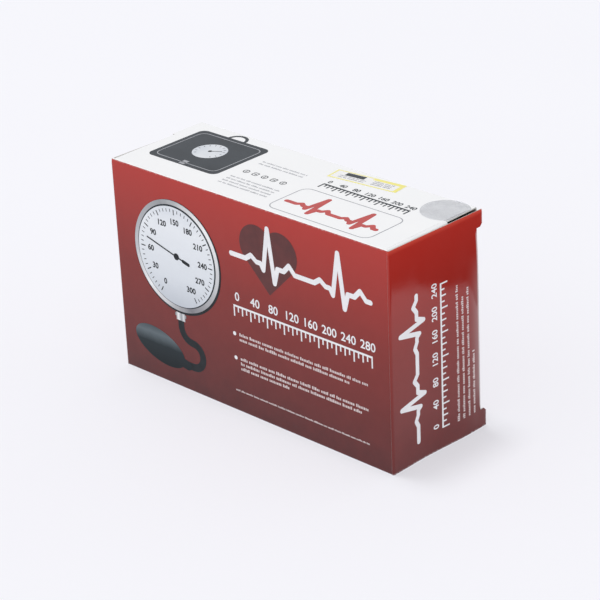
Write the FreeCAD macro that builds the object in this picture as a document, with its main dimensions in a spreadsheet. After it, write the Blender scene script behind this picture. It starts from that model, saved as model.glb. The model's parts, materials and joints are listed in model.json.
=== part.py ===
import FreeCAD, Part
import os
import re
from math import acos, atan2, cos, degrees, hypot, pi, radians, sin, sqrt, tan

import Sketcher

# A boxed sphygmomanometer: a tuck-end carton standing on its long bottom panel, with the packed kit inside it.
# The origin is the middle of the carton's underside, +X is its right end, -Y its front panel and +Z is up.
# All lengths are millimetres.

SIZES = {
    # carton board and its two tucked ends
    "carton_width": 191, "carton_depth": 66, "carton_height": 120, "board": 0.6,
    "crease_gap": 0.1, "end_gap": 0.3, "edge_gap": 0.3,
    "ear_height": 10.5, "ear_reach": 2.5, "slit_gap": 0.4,
    "tuck_length": 14, "tuck_gap": 0.3, "tuck_tilt": 11, "tuck_corner": 5,
    "dust_length": 44, "dust_side_gap": 0.4, "dust_relief": 3, "dust_mitre_share": 0.6,
    "glue_flap_height": 9.5, "glue_flap_mitre": 6,
    "seal_radius": 12.5, "seal_film": 0.1, "seal_end_margin": 10.1, "seal_back_margin": 12.6, "seal_overhang": 0.7,
    "label_length": 42, "label_width": 10.5, "label_paper": 0.1, "label_turn": 6,
    "label_end_margin": 64.5, "label_back_margin": 8.5,
    # folded soft goods
    "soft_gap": 0.5, "cuff_end_gap": 3, "gauge_bay": 48, "cuff_fold": 14,
    "bladder_half": 2.5, "bladder_hem": 8, "bladder_gap": 0.3, "stub_inset": 11, "stub_length": 5, "stub_wall": 0.9,
    "leaflet": 1.2, "leaflet_height": 60, "leaflet_inset": 14,
    "case_thickness": 8.8, "case_corner": 12, "case_end_gap": 16,
    "chain_width": 5, "chain_height": 2.4, "slider_length": 10, "slider_width": 8, "slider_roof": 1.6,
    "slider_gap": 0.3, "slider_park": 18, "bail_gap": 0.3, "bail_ear": 0.8, "pull_pin": 0.6, "pull_eye": 1.5,
    "pull_neck": 1.8, "pull_length": 16, "pull_width": 4.8, "pull_thickness": 1.2,
    # inflation bulb, valves and tubes
    "fit_gap": 0.05, "headroom": 8, "bulb_radius": 22, "bulb_wall": 2.5, "bulb_crown": 3.5,
    "bulb_shoulder": 15, "bulb_end_radius": 17, "tail_length": 5, "tail_radius": 7, "tail_bore": 4.5,
    "neck_length": 8, "neck_radius": 8, "neck_bore": 5.5,
    "ball_radius": 2, "ball_travel": 1.5, "ball_gap": 0.4, "port_radius": 1.2, "port_length": 3,
    "inlet_flange": 2.5, "inlet_rim": 6.5, "lip_length": 1.5,
    "collar_length": 3, "collar_radius": 9, "barrel_length": 15, "barrel_radius": 6.2, "spigot_length": 10,
    "boss_radius": 4.6, "boss_height": 9, "screw_radius": 2.3, "screw_seat": 2.4, "screw_port": 0.8,
    "knob_radius": 7, "knob_height": 8, "knob_gap": 0.4, "knob_groove": 0.7, "knob_grooves": 18,
    "tube_radius": 4, "tube_bore": 2.2, "tube_landing": 4, "gauge_standoff": 12,
    # gauge shell
    "bezel_radius": 25, "bezel_wall": 1, "bezel_skirt": 5, "bezel_lip": 0.8, "bezel_cover": 3.4,
    "gauge_wall": 1, "gauge_floor": 1.2, "gasket": 0.4, "gasket_width": 0.9,
    "crystal": 1.2, "crystal_dome": 0.8, "crystal_gap": 0.3, "dial": 0.4, "dial_gap": 0.6,
    "stem_neck": 3, "stem_flange": 1.2, "stem_flange_radius": 6, "stem_bore": 1, "stem_reach": 6,
    # gauge capsule and movement
    "capsule_radius": 14, "capsule_half": 2.2, "diaphragm": 0.25, "ripple": 0.45, "capsule_rim": 1.5,
    "pin_radius": 1, "pin_tip": 0.25, "pin_cone": 0.4, "pin_flange": 0.4, "pin_flange_radius": 2.5,
    "pin_stroke": 1.5, "pin_overrun": 0.3, "pin_reach": 0.5, "pin_gap": 0.15,
    "plate": 0.8, "plate_margin": 3, "post_radius": 1.8, "pillar_radius": 1.3, "post_inset": 2.2,
    "case_screw": 0.8, "case_screw_bite": 3, "case_screw_head": 1.7, "case_screw_head_height": 1,
    "rocker_arm": 6, "rocker_shaft": 0.6, "arm_thickness": 0.7, "arm_width": 1.4, "arm_overhang": 0.4,
    "upright_width": 0.8, "upright_thickness": 0.8, "shaft_tail": 0.6, "bracket": 1, "bracket_width": 2.6,
    "bracket_crown": 1.3, "bracket_reach": 5, "bracket_offset": 8.5,
    "bridge": 0.6, "bridge_gap": 0.4, "bridge_half_span": 5, "bridge_width": 2.8, "bridge_post": 0.9,
    "tooth_module": 0.25, "pinion_teeth": 10, "sector_teeth": 100, "tooth_backlash": 0.12, "tooth_top_share": 0.75,
    "tooth_foot_share": 1.2, "sector_gap": 0.4, "sector": 0.7, "sector_hub": 1, "sector_arbor": 0.6,
    "tail_reach": 2.2, "tail_half": 0.9, "tail_gap": 0.1, "tail_overhang": 0.9,
    "arbor_radius": 0.5, "arbor_tip": 0.3, "pinion_overhang": 0.2,
    "spring_gap": 0.3, "spring_width": 0.3, "spring_band": 0.15, "spring_start": 1.1, "spring_pitch": 0.55,
    "spring_half_turns": 11, "spring_stud": 0.5,
    "pointer_gap": 1, "pointer": 0.3, "pointer_hub": 1.8, "pointer_reach": 16.5, "pointer_tail": 6,
    "pointer_root": 1.1, "pointer_point": 0.25,
}

# Places that follow from the sizes.
PLACES = {
    "closure_x": "carton_width / 2 - board / 2",
    "closure_y": "board / 2 - carton_depth / 2",
    "side_end": "closure_x - board / 2 - crease_gap",
    "dust_x": "closure_x - board - end_gap",
    "lid_end": "dust_x - board / 2 - crease_gap",
    "tuck_reach": "carton_depth - 2 * board - tuck_gap",
    "tuck_y": "closure_y + tuck_reach",
    "ear_root": "tuck_reach - board / 2 - crease_gap",
    "ear_tip": "carton_depth - board / 2 + ear_reach",
    "tuck_foot": "ear_height + slit_gap",
    "cuff_left": "cuff_end_gap - lid_end",
    "cuff_right": "lid_end - gauge_bay",
    "cuff_width": "cuff_right - cuff_left",
    "cuff_front": "board + soft_gap - carton_depth / 2",
    "floor_z": "board + soft_gap",
    "case_back": "carton_depth / 2 - 2 * board - soft_gap",
    "case_front": "case_back - case_thickness",
    "leaflet_front": "case_front - soft_gap - leaflet",
    "cuff_depth": "leaflet_front - soft_gap - cuff_front",
    "bulb_z": "carton_height - board - headroom - bulb_radius",
    "cuff_top": "bulb_z - bulb_radius - soft_gap",
    "cuff_height": "cuff_top - floor_z",
    "kit_y": "board + soft_gap + bezel_radius - carton_depth / 2",
    "stub_x": "cuff_right - stub_inset",
    "bend_radius": "bulb_z - cuff_top - tube_landing",
    "spigot_x": "stub_x - bend_radius - spigot_length",
    "valve_x": "spigot_x - barrel_length - collar_length",
    "bulb_x": "cuff_left + inlet_flange",
    "bulb_length": "valve_x - bulb_x",
    "chamber_length": "2 * ball_radius + ball_travel",
    "case_left": "case_end_gap - lid_end",
    "case_width": "cuff_right - case_left",
    "case_top": "cuff_top",
    "case_mid_y": "(case_front + case_back) / 2",
    "slider_x": "case_left + case_corner + slider_park",
    "slider_top": "case_top + chain_height + slider_gap + slider_roof",
    "pull_z": "slider_top + pull_eye + bail_gap",
    "gauge_x": "cuff_right + gauge_standoff",
    "gauge_z": "floor_z + bezel_radius",
    "gauge_radius": "bezel_radius - bezel_wall - fit_gap",
    "gauge_inside": "gauge_radius - gauge_wall",
    "plate_radius": "gauge_inside - plate_margin",
    "post_ring": "plate_radius - post_inset",
    "capsule_z": "gauge_floor + stem_flange",
    "capsule_top": "capsule_z + 2 * capsule_half",
    "lower_plate_z": "capsule_top + pin_flange + pin_stroke + pin_overrun",
    "lower_plate_top": "lower_plate_z + plate",
    "pin_top": "lower_plate_top + pin_reach",
    "arm_z": "pin_top + pin_gap",
    "rocker_z": "arm_z + arm_thickness / 2",
    "bridge_z": "arm_z + arm_thickness + pin_stroke + bridge_gap",
    "sector_z": "bridge_z + bridge + sector_gap",
    "spring_z": "sector_z + sector + spring_gap",
    "upper_plate_z": "spring_z + spring_width + spring_gap",
    "dial_z": "upper_plate_z + plate",
    "pointer_z": "dial_z + dial + pointer_gap",
    "arbor_top": "pointer_z + pointer + arbor_tip",
    "rim_z": "arbor_top + crystal_gap",
    "crystal_z": "rim_z + gasket",
    "crystal_top": "crystal_z + crystal",
    "pinion_radius": "tooth_module * pinion_teeth / 2",
    "sector_radius": "tooth_module * sector_teeth / 2",
    "gear_centres": "pinion_radius + sector_radius",
    "sector_y": "-rocker_arm - upright_thickness / 2 - tail_gap - tail_half",
    "sector_x": "-sqrt(gear_centres ^ 2 - sector_y ^ 2)",
    "upright_x": "sector_x - tail_reach",
}

# Where the three posts and pillars stand round the movement, in degrees.
POST_ANGLES = (100, 240, 340)
# Ripples of a diaphragm: shares of its radius where the profile bends, alternately low and high.
RIPPLE_SHARES = (0.46, 0.54, 0.62, 0.7, 0.78, 0.86)
# Teeth of the sector on each side of the one that is in mesh at rest.
TEETH_AHEAD = 2
TEETH_BEHIND = 11
PRESSURE_ANGLE = radians(20)

GAUGE_TURN = FreeCAD.Rotation(FreeCAD.Vector(1, 1, 1), 120)
ALONG_X = FreeCAD.Rotation(FreeCAD.Vector(0, 1, 0), 90)
ALONG_Y = FreeCAD.Rotation(FreeCAD.Vector(1, 0, 0), -90)
UPRIGHT = FreeCAD.Rotation()

doc = FreeCAD.newDocument("boxed_sphygmomanometer")
sheet = doc.addObject("Spreadsheet::Sheet", "sizes")
for row, (name, size) in enumerate(SIZES.items(), start=1):
    sheet.set("A%d" % row, name)
    sheet.set("B%d" % row, str(size))
    sheet.setAlias("B%d" % row, name)
doc.recompute()
subparts = []


def formula(text):
    """Write a text in size and place names as an expression on the sheet."""
    def swap(match):
        word = match.group(0)
        if word in PLACES:
            return "(" + formula(PLACES[word]) + ")"
        return "sizes." + word if word in SIZES else word
    return re.sub(r"[a-z_]+", swap, text)


def value(text):
    """The number that a text in size and place names stands for."""
    return float(sheet.evalExpression(formula(text)))


def bind(thing, prop, text):
    """Tie a property to the sheet."""
    thing.setExpression(prop, formula(text))


def place(thing, at, turn=UPRIGHT):
    """Turn a thing and tie its position, three texts, to the sheet."""
    thing.Placement = FreeCAD.Placement(FreeCAD.Vector(), turn)
    for axis, text in zip("xyz", at):
        bind(thing, "Placement.Base." + axis, text)
    return thing


def in_gauge(at):
    """Gauge coordinates (across, up, out of the dial) as carton coordinates."""
    across, up, out = at
    return ("gauge_x + " + out, "kit_y + " + across, "gauge_z + " + up)


def keep(thing, label):
    """Name a finished sub-part and put it on the list of files to write."""
    thing.Label = label
    subparts.append(thing)
    return thing


def box(name, at, length, width, height, turn=UPRIGHT):
    made = doc.addObject("Part::Box", name)
    for prop, text in (("Length", length), ("Width", width), ("Height", height)):
        bind(made, prop, text)
    return place(made, at, turn)


def rod(name, at, radius, height, turn=UPRIGHT):
    made = doc.addObject("Part::Cylinder", name)
    bind(made, "Radius", radius)
    bind(made, "Height", height)
    return place(made, at, turn)


def fuse(name, shapes):
    made = doc.addObject("Part::MultiFuse", name)
    made.Shapes = shapes
    return made


def cut(name, base, tool):
    made = doc.addObject("Part::Cut", name)
    made.Base = base
    made.Tool = tool
    return made


def group(name, solids):
    made = doc.addObject("Part::Compound", name)
    made.Links = solids
    return made


def body(name, at=("0", "0", "0"), turn=UPRIGHT):
    return place(doc.addObject("PartDesign::Body", name), at, turn)


def sketch(owner, role, lift="0"):
    """A sketch on one of a body's own origin planes, lifted along the plane's normal."""
    made = owner.newObject("Sketcher::SketchObject", owner.Name + "_sketch")
    plane = next(item for item in owner.Origin.OriginFeatures if item.Role == role)
    made.AttachmentSupport = (plane, [""])
    made.MapMode = "FlatFace"
    bind(made, "AttachmentOffset.Base.z", lift)
    return made


def tie_point(drawing, geometry, end, across, up):
    """Tie one end of a sketch line or arc to a pair of texts."""
    for kind, axis, text in (("DistanceX", -2, across), ("DistanceY", -1, up)):
        if text == "0":
            drawing.addConstraint(Sketcher.Constraint("PointOnObject", geometry, end, axis))
        else:
            index = drawing.addConstraint(Sketcher.Constraint(kind, -1, 1, geometry, end, value(text)))
            bind(drawing, "Constraints[%d]" % index, text)


def outline(drawing, corners, arcs=None):
    """Close a loop through the corners. arcs maps a side's number to (radius, +1 to bulge left or -1 right)."""
    arcs = arcs or {}
    points = [FreeCAD.Vector(value(across), value(up), 0) for across, up in corners]
    sides = []
    for number, start in enumerate(points):
        end = points[(number + 1) % len(points)]
        shape = Part.LineSegment(start, end)
        if number in arcs:
            radius = value(arcs[number][0])
            chord = end - start
            left = FreeCAD.Vector(-chord.y, chord.x, 0).normalize() * arcs[number][1]
            rise = radius - sqrt(radius ** 2 - (chord.Length / 2) ** 2)
            shape = Part.Arc(start, (start + end) / 2 + left * rise, end)
        sides.append(drawing.addGeometry(shape, False))
    for number, side in enumerate(sides):
        start_end = 1 if (drawing.getPoint(side, 1) - points[number]).Length < value("fit_gap") else 2
        before = sides[number - 1]
        other_end = 1 if (drawing.getPoint(before, 1) - points[number]).Length < value("fit_gap") else 2
        drawing.addConstraint(Sketcher.Constraint("Coincident", before, other_end, side, start_end))
        tie_point(drawing, side, start_end, *corners[number])
    for number, (radius, _) in arcs.items():
        index = drawing.addConstraint(Sketcher.Constraint("Radius", sides[number], value(radius)))
        bind(drawing, "Constraints[%d]" % index, radius)
    return drawing


def circle(drawing, across, up, radius):
    centre = FreeCAD.Vector(value(across), value(up), 0)
    shape = Part.Circle(centre, FreeCAD.Vector(0, 0, 1), value(radius))
    index = drawing.addGeometry(shape, False)
    if (across, up) == ("0", "0"):
        drawing.addConstraint(Sketcher.Constraint("Coincident", index, 3, -1, 1))
    else:
        tie_point(drawing, index, 3, across, up)
    size = drawing.addConstraint(Sketcher.Constraint("Radius", index, value(radius)))
    bind(drawing, "Constraints[%d]" % size, radius)
    return drawing


def pad(owner, drawing, length, both_ways=False):
    made = owner.newObject("PartDesign::Pad", owner.Name + "_pad")
    made.Profile = drawing
    bind(made, "Length", length)
    if both_ways:
        made.SideType = "Symmetric"
    drawing.Visibility = False
    return owner


def revolve(owner, drawing, axis):
    made = owner.newObject("PartDesign::Revolution", owner.Name + "_turned")
    made.Profile = drawing
    made.ReferenceAxis = (drawing, [axis])
    made.Angle = 360
    drawing.Visibility = False
    return owner


def turned_along_x(name, at, corners, arcs=None):
    """A turned piece whose profile is in (along, radius) from a point on its level axis."""
    owner = body(name, at)
    return revolve(owner, outline(sketch(owner, "XZ_Plane"), corners, arcs), "H_Axis")


def turned_in_gauge(name, corners, arcs=None):
    """A turned gauge piece whose profile is in (radius, height above the case's back)."""
    owner = body(name, in_gauge(("0", "0", "0")), GAUGE_TURN)
    return revolve(owner, outline(sketch(owner, "XZ_Plane"), corners, arcs), "V_Axis")


def disc_in_gauge(name, height, thickness, radius, holes):
    """A flat gauge disc with round holes, each (across, up, radius)."""
    owner = body(name, in_gauge(("0", "0", "0")), GAUGE_TURN)
    drawing = circle(sketch(owner, "XY_Plane", height), "0", "0", radius)
    for across, up, hole in holes:
        circle(drawing, across, up, hole)
    return pad(owner, drawing, thickness)


def build_carton_sleeve():
    """Front, back, top and bottom panels, and the flap that glues the bottom panel to the back one."""
    for label, front in (("front_panel", "-carton_depth / 2"), ("back_panel", "carton_depth / 2 - board")):
        keep(box(label, ("-side_end", front, "0"), "2 * side_end", "board", "carton_height"), label)
    for label, low in (("top_panel", "carton_height - board"), ("bottom_panel", "0")):
        keep(box(label, ("-lid_end", "board - carton_depth / 2", low),
                 "2 * lid_end", "carton_depth - 2 * board", "board"), label)
    flap = body("glue_flap", ("0", "carton_depth / 2 - board", "0"))
    foot = "board"
    head = "board + glue_flap_height"
    corners = [("-lid_end", foot), ("lid_end", foot),
               ("lid_end - glue_flap_mitre", head), ("glue_flap_mitre - lid_end", head)]
    keep(pad(flap, outline(sketch(flap, "XZ_Plane"), corners), "board"), "glue_flap")


def build_carton_end(side, sign):
    """One end of the carton: the closure panel with two ears, its tuck tongue and two dust flaps."""
    closure_x = "%d * closure_x" % sign
    panel = body(side + "_closure_plate", (closure_x + " - board / 2", "closure_y", "0"))
    top = "carton_height - edge_gap"
    ear_top = "carton_height - ear_height"
    corners = [("0", "edge_gap"), ("ear_tip", "edge_gap"), ("ear_tip", "ear_height"), ("ear_root", "ear_height"),
               ("ear_root", ear_top), ("ear_tip", ear_top), ("ear_tip", top), ("0", top)]
    pad(panel, outline(sketch(panel, "YZ_Plane"), corners), "board")
    crease = rod(side + "_closure_crease", (closure_x, "closure_y", "edge_gap"), "board / 2",
                 "carton_height - 2 * edge_gap")
    keep(fuse(side + "_closure", [panel, crease]), side + "_closure_panel")

    tongue = body(side + "_tongue_plate", (closure_x, "tuck_y", "0"))
    tongue.Placement.Rotation = FreeCAD.Rotation(FreeCAD.Vector(0, 0, sign), value("tuck_tilt"))
    bind(tongue, "Placement.Rotation.Angle", "tuck_tilt")
    tip = "%d * tuck_length" % -sign
    tip_corner = "%d * (tuck_length - tuck_corner)" % -sign
    tuck_head = "carton_height - tuck_foot"
    corners = [("0", "tuck_foot"), (tip_corner, "tuck_foot"), (tip, "tuck_foot + tuck_corner"),
               (tip, tuck_head + " - tuck_corner"), (tip_corner, tuck_head), ("0", tuck_head)]
    pad(tongue, outline(sketch(tongue, "XZ_Plane"), corners), "board", both_ways=True)
    crease = rod(side + "_tongue_crease", (closure_x, "tuck_y", "tuck_foot"), "board / 2",
                 "carton_height - 2 * tuck_foot")
    keep(fuse(side + "_tongue", [tongue, crease]), side + "_tuck_tongue")

    dust_x = "%d * dust_x" % sign
    front = "board + dust_side_gap - carton_depth / 2"
    back = "carton_depth / 2 - board - dust_relief"
    for level, height, down in (("top", "carton_height - board / 2", -1), ("bottom", "board / 2", 1)):
        name = "%s_%s_dust" % (side, level)
        flap = body(name + "_plate", (dust_x + " - board / 2", "0", height))
        tip = "%d * dust_length" % down
        corners = [(front, "0"), (front + " + dust_mitre_share * dust_length", tip), (back, tip), (back, "0")]
        pad(flap, outline(sketch(flap, "YZ_Plane"), corners), "board")
        crease = rod(name + "_crease", (dust_x, front, height), "board / 2", back + " - (" + front + ")", ALONG_Y)
        keep(fuse(name, [flap, crease]), name + "_flap")


def build_stickers():
    """A round clear seal, slit just past the top panel's end, and a paper label, both on the top panel."""
    seal_y = "carton_depth / 2 - seal_back_margin"
    wafer = rod("seal_wafer", ("carton_width / 2 - seal_end_margin", seal_y, "carton_height"),
                "seal_radius", "seal_film")
    past_slit = box("seal_past_slit", ("lid_end + seal_overhang", seal_y + " - seal_radius", "carton_height"),
                    "seal_radius", "2 * seal_radius", "seal_film")
    keep(cut("seal", wafer, past_slit), "round_seal")
    label = body("price_label", ("carton_width / 2 - label_end_margin", "carton_depth / 2 - label_back_margin",
                                 "carton_height"))
    label.Placement.Rotation = FreeCAD.Rotation(FreeCAD.Vector(0, 0, 1), value("label_turn"))
    bind(label, "Placement.Rotation.Angle", "label_turn")
    ends = ("-label_length / 2", "label_length / 2")
    sides = ("-label_width / 2", "label_width / 2")
    corners = [(ends[0], sides[0]), (ends[1], sides[0]), (ends[1], sides[1]), (ends[0], sides[1])]
    keep(pad(label, outline(sketch(label, "XY_Plane"), corners), "label_paper"), "price_label")


def rounded(low, high, corner):
    """Corners and arcs of a rectangle with rounded corners, from its (across, up) limits."""
    (left, foot), (right, head) = low, high
    inner = [left + " + " + corner, right + " - " + corner, foot + " + " + corner, head + " - " + corner]
    corners = [(inner[0], foot), (inner[1], foot), (right, inner[2]), (right, inner[3]),
               (inner[1], head), (inner[0], head), (left, inner[3]), (left, inner[2])]
    return corners, {side: (corner, -1) for side in (1, 3, 5, 7)}


def build_cuff():
    """The folded cuff, with the flat bladder in its pocket. Two stubs of the bladder come out of it."""
    folded = body("cuff_folded", ("cuff_left", "0", "0"))
    corners, arcs = rounded(("cuff_front", "floor_z"), ("cuff_front + cuff_depth", "cuff_top"), "cuff_fold")
    pad(folded, outline(sketch(folded, "YZ_Plane"), corners, arcs), "cuff_width")
    low = ("cuff_left + bladder_hem", "kit_y - bladder_half", "floor_z + bladder_hem")
    length = "cuff_width - 2 * bladder_hem + bladder_gap"
    height = "cuff_height - 2 * bladder_hem"
    pocket = box("bladder_pocket", (low[0] + " - bladder_gap", low[1] + " - bladder_gap", low[2] + " - bladder_gap"),
                 length + " + bladder_gap", "2 * (bladder_half + bladder_gap)", height + " + 2 * bladder_gap")
    end_stub = ("cuff_right - bladder_hem", "kit_y", "gauge_z")
    top_stub = ("stub_x", "kit_y", "cuff_top - bladder_hem")
    slots = [rod("end_stub_slot", end_stub, "tube_bore + bladder_gap", "2 * bladder_hem", ALONG_X),
             rod("top_stub_slot", top_stub, "tube_bore + bladder_gap", "2 * bladder_hem")]
    keep(cut("cuff", folded, fuse("cuff_openings", [pocket] + slots)), "folded_cuff")

    slab = box("bladder_slab", low, "cuff_width - 2 * bladder_hem", "2 * bladder_half", height)
    reach = "bladder_hem + stub_length"
    inset = "bladder_hem"
    stubs = []
    bores = []
    for name, (x, y, z), turn in (("end_stub", end_stub, ALONG_X), ("top_stub", top_stub, UPRIGHT)):
        start = (x + " - " + inset, y, z) if turn == ALONG_X else (x, y, z + " - " + inset)
        stubs.append(rod(name, start, "tube_bore - fit_gap", reach + " + " + inset, turn))
        bores.append(rod(name + "_bore", start, "tube_bore - fit_gap - stub_wall", reach + " + 2 * " + inset, turn))
    keep(cut("bladder_hollow", fuse("bladder_solid", [slab] + stubs), fuse("bladder_bores", bores)), "bladder")


def build_case():
    """The flat zipped carry case behind the cuff, with its chain, slider and pull tab, and the leaflet."""
    case = body("carry_case_bag", ("0", "case_back", "0"))
    corners, arcs = rounded(("case_left", "floor_z"), ("cuff_right", "case_top"), "case_corner")
    keep(pad(case, outline(sketch(case, "XZ_Plane"), corners, arcs), "case_thickness"), "carry_case")

    chain_at = ("case_left + case_corner", "case_mid_y - chain_width / 2", "case_top")
    keep(box("zipper_chain", chain_at, "case_width - 2 * case_corner", "chain_width", "chain_height"), "zipper_chain")

    block = box("slider_block", ("slider_x - slider_length / 2", "case_mid_y - slider_width / 2",
                                 "case_top + slider_gap"),
                "slider_length", "slider_width", "chain_height + slider_roof")
    channel = box("slider_channel", ("slider_x - slider_length", "case_mid_y - chain_width / 2 - slider_gap",
                                     "case_top"),
                  "2 * slider_length", "chain_width + 2 * slider_gap", "chain_height + slider_gap")
    ear_in = "pull_neck / 2 + bail_gap"
    ears = [box("bail_ear_%s" % side, ("slider_x - pull_eye", y, "slider_top"),
                "2 * pull_eye", "bail_ear", "pull_eye + bail_gap + 2 * pull_pin")
            for side, y in (("front", "case_mid_y - (" + ear_in + ") - bail_ear"),
                            ("back", "case_mid_y + " + ear_in))]
    pin = rod("bail_pin", ("slider_x", "case_mid_y - (" + ear_in + ")", "pull_z"), "pull_pin",
              "2 * (" + ear_in + ")", ALONG_Y)
    keep(fuse("slider", [cut("slider_hollow", block, channel), pin] + ears), "zipper_slider")

    eye = rod("pull_eye_ring", ("slider_x", "case_mid_y - pull_neck / 2", "pull_z"), "pull_eye", "pull_neck", ALONG_Y)
    neck = box("pull_neck_bar", ("slider_x", "case_mid_y - pull_neck / 2", "pull_z - pull_thickness / 2"),
               "3 * pull_eye", "pull_neck", "pull_thickness")
    tab = box("pull_plate", ("slider_x + 2 * pull_eye", "case_mid_y - pull_width / 2", "pull_z - pull_thickness / 2"),
              "pull_length - 2 * pull_eye", "pull_width", "pull_thickness")
    hole = rod("pull_hole", ("slider_x", "case_mid_y - pull_width / 2", "pull_z"), "pull_pin + fit_gap",
               "pull_width", ALONG_Y)
    keep(cut("pull", fuse("pull_solid", [eye, neck, tab]), hole), "zipper_pull")

    keep(box("leaflet_sheet", ("case_left + leaflet_inset", "leaflet_front", "floor_z"),
             "case_width - 2 * leaflet_inset", "leaflet", "leaflet_height"), "leaflet")


def build_bulb():
    """The rubber bulb lying on the cuff, with a check valve in its tail and the release valve in its neck."""
    side = "bulb_radius - bulb_crown"
    shoulder = ["tail_length + bulb_shoulder", "bulb_length - neck_length - bulb_shoulder"]
    half_side = "(bulb_length - neck_length - tail_length - 2 * bulb_shoulder) / 2"
    side_radius = "((" + half_side + ") ^ 2 + bulb_crown ^ 2) / (2 * bulb_crown)"
    corners = [("0", "tail_radius"), ("tail_length", "tail_radius"), (shoulder[0], side), (shoulder[1], side),
               ("bulb_length - neck_length", "neck_radius"), ("bulb_length", "neck_radius"),
               ("bulb_length", "neck_bore"), ("bulb_length - neck_length - bulb_wall", "neck_bore"),
               (shoulder[1], side + " - bulb_wall"), (shoulder[0], side + " - bulb_wall"),
               ("tail_length + bulb_wall", "tail_bore"), ("0", "tail_bore")]
    arcs = {1: ("bulb_end_radius", 1), 2: (side_radius, 1), 3: ("bulb_end_radius", 1),
            7: ("bulb_end_radius - bulb_wall", -1), 8: (side_radius, -1), 9: ("bulb_end_radius - bulb_wall", -1)}
    keep(turned_along_x("bulb_rubber", ("bulb_x", "kit_y", "bulb_z"), corners, arcs), "inflation_bulb")

    plug_end = "port_length + chamber_length + lip_length"
    corners = [("-inlet_flange", "port_radius"), ("-inlet_flange", "inlet_rim"), ("0", "inlet_rim"),
               ("0", "tail_bore - fit_gap"), (plug_end, "tail_bore - fit_gap"), (plug_end, "port_radius"),
               ("port_length + chamber_length", "port_radius"),
               ("port_length + chamber_length", "ball_radius + ball_gap"),
               ("port_length", "ball_radius + ball_gap"), ("port_length", "port_radius")]
    keep(turned_along_x("inlet_valve", ("bulb_x", "kit_y", "bulb_z"), corners), "inlet_valve_body")

    chamber = "lip_length - neck_length"
    chamber_end = chamber + " + chamber_length"
    end = "collar_length + barrel_length"
    corners = [("-neck_length", "port_radius"), ("-neck_length", "neck_bore - fit_gap"),
               ("0", "neck_bore - fit_gap"), ("0", "collar_radius"), ("collar_length", "collar_radius"),
               ("collar_length", "barrel_radius"), (end, "barrel_radius"), (end, "tube_bore - fit_gap"),
               (end + " + spigot_length", "tube_bore - fit_gap"), (end + " + spigot_length", "port_radius"),
               (chamber_end, "port_radius"), (chamber_end, "ball_radius + ball_gap"),
               (chamber, "ball_radius + ball_gap"), (chamber, "port_radius")]
    turned = turned_along_x("valve_turned", ("valve_x", "kit_y", "bulb_z"), corners)
    screw_x = "valve_x + collar_length + barrel_length / 2"
    boss = cut("valve_boss", rod("boss_rod", (screw_x, "kit_y", "bulb_z"), "boss_radius", "boss_height"),
               rod("boss_core", (screw_x + " - boss_radius", "kit_y", "bulb_z"), "(barrel_radius + port_radius) / 2",
                   "2 * boss_radius", ALONG_X))
    holes = [rod("screw_hole", (screw_x, "kit_y", "bulb_z + screw_seat"), "screw_radius", "boss_height"),
             rod("screw_port_hole", (screw_x, "kit_y", "bulb_z"), "screw_port", "boss_height")]
    keep(cut("valve", fuse("valve_solid", [turned, boss]), fuse("valve_holes", holes)), "release_valve_body")

    for label, x in (("inlet_ball", "bulb_x + port_length"), ("outlet_ball", "valve_x + " + chamber)):
        ball = doc.addObject("Part::Sphere", label)
        bind(ball, "Radius", "ball_radius - fit_gap")
        keep(place(ball, (x + " + ball_radius", "kit_y", "bulb_z")), label)

    knob_low = "boss_height + knob_gap"
    knob = body("screw", (screw_x, "kit_y", "bulb_z"))
    corners = [("0", "screw_seat + fit_gap"), ("screw_port", "screw_seat + fit_gap"),
               ("screw_radius - fit_gap", "screw_seat + screw_radius"), ("screw_radius - fit_gap", knob_low),
               ("knob_radius", knob_low), ("knob_radius", knob_low + " + knob_height"),
               ("0", knob_low + " + knob_height")]
    revolve(knob, outline(sketch(knob, "XZ_Plane"), corners), "V_Axis")
    groove = knob.newObject("PartDesign::Pocket", "knob_groove_cut")
    groove.Profile = circle(sketch(knob, "XY_Plane", knob_low), "knob_radius", "0", "knob_groove")
    groove.Reversed = True
    bind(groove, "Length", "knob_height")
    doc.recompute()
    ring = knob.newObject("PartDesign::PolarPattern", "knob_grooves_ring")
    ring.Originals = [groove]
    ring.Axis = (groove.Profile[0], ["N_Axis"])
    ring.Angle = 360
    bind(ring, "Occurrences", "knob_grooves")
    knob.Tip = ring
    keep(knob, "release_screw")


def build_tubes():
    """The bulb tube, a quarter bend from the valve's spigot down over the cuff's top stub, and the gauge tube."""
    across = FreeCAD.Vector(1, 0, 0)
    start = FreeCAD.Vector(value("spigot_x"), value("kit_y"), value("bulb_z"))
    bend = value("bend_radius")
    bend_start = start + across * value("spigot_length")
    bend_end = FreeCAD.Vector(value("stub_x"), value("kit_y"), value("bulb_z") - bend)
    middle = bend_start + FreeCAD.Vector(bend * sin(pi / 4), 0, bend * (cos(pi / 4) - 1))
    foot = FreeCAD.Vector(bend_end.x, bend_end.y, value("cuff_top"))
    path = Part.Wire([Part.LineSegment(start, bend_start).toShape(), Part.Arc(bend_start, middle, bend_end).toShape(),
                      Part.LineSegment(bend_end, foot).toShape()])
    rubber, bore = [path.makePipeShell([Part.Wire(Part.makeCircle(value(radius), start, across))], True, False)
                    for radius in ("tube_radius", "tube_bore")]
    tube = doc.addObject("Part::Feature", "bulb_tube")
    tube.Shape = rubber.cut(bore)
    section = pi * (value("tube_radius") ** 2 - value("tube_bore") ** 2)
    print("bulb tube: volume over section times length", round(tube.Shape.Volume / (section * path.Length), 4))
    keep(tube, "bulb_tube")

    ends = ("cuff_right", "kit_y", "gauge_z")
    keep(cut("gauge_tube_hollow", rod("gauge_tube_rubber", ends, "tube_radius", "gauge_standoff", ALONG_X),
             rod("gauge_tube_bore", ends, "tube_bore", "gauge_standoff", ALONG_X)), "gauge_tube")


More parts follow.
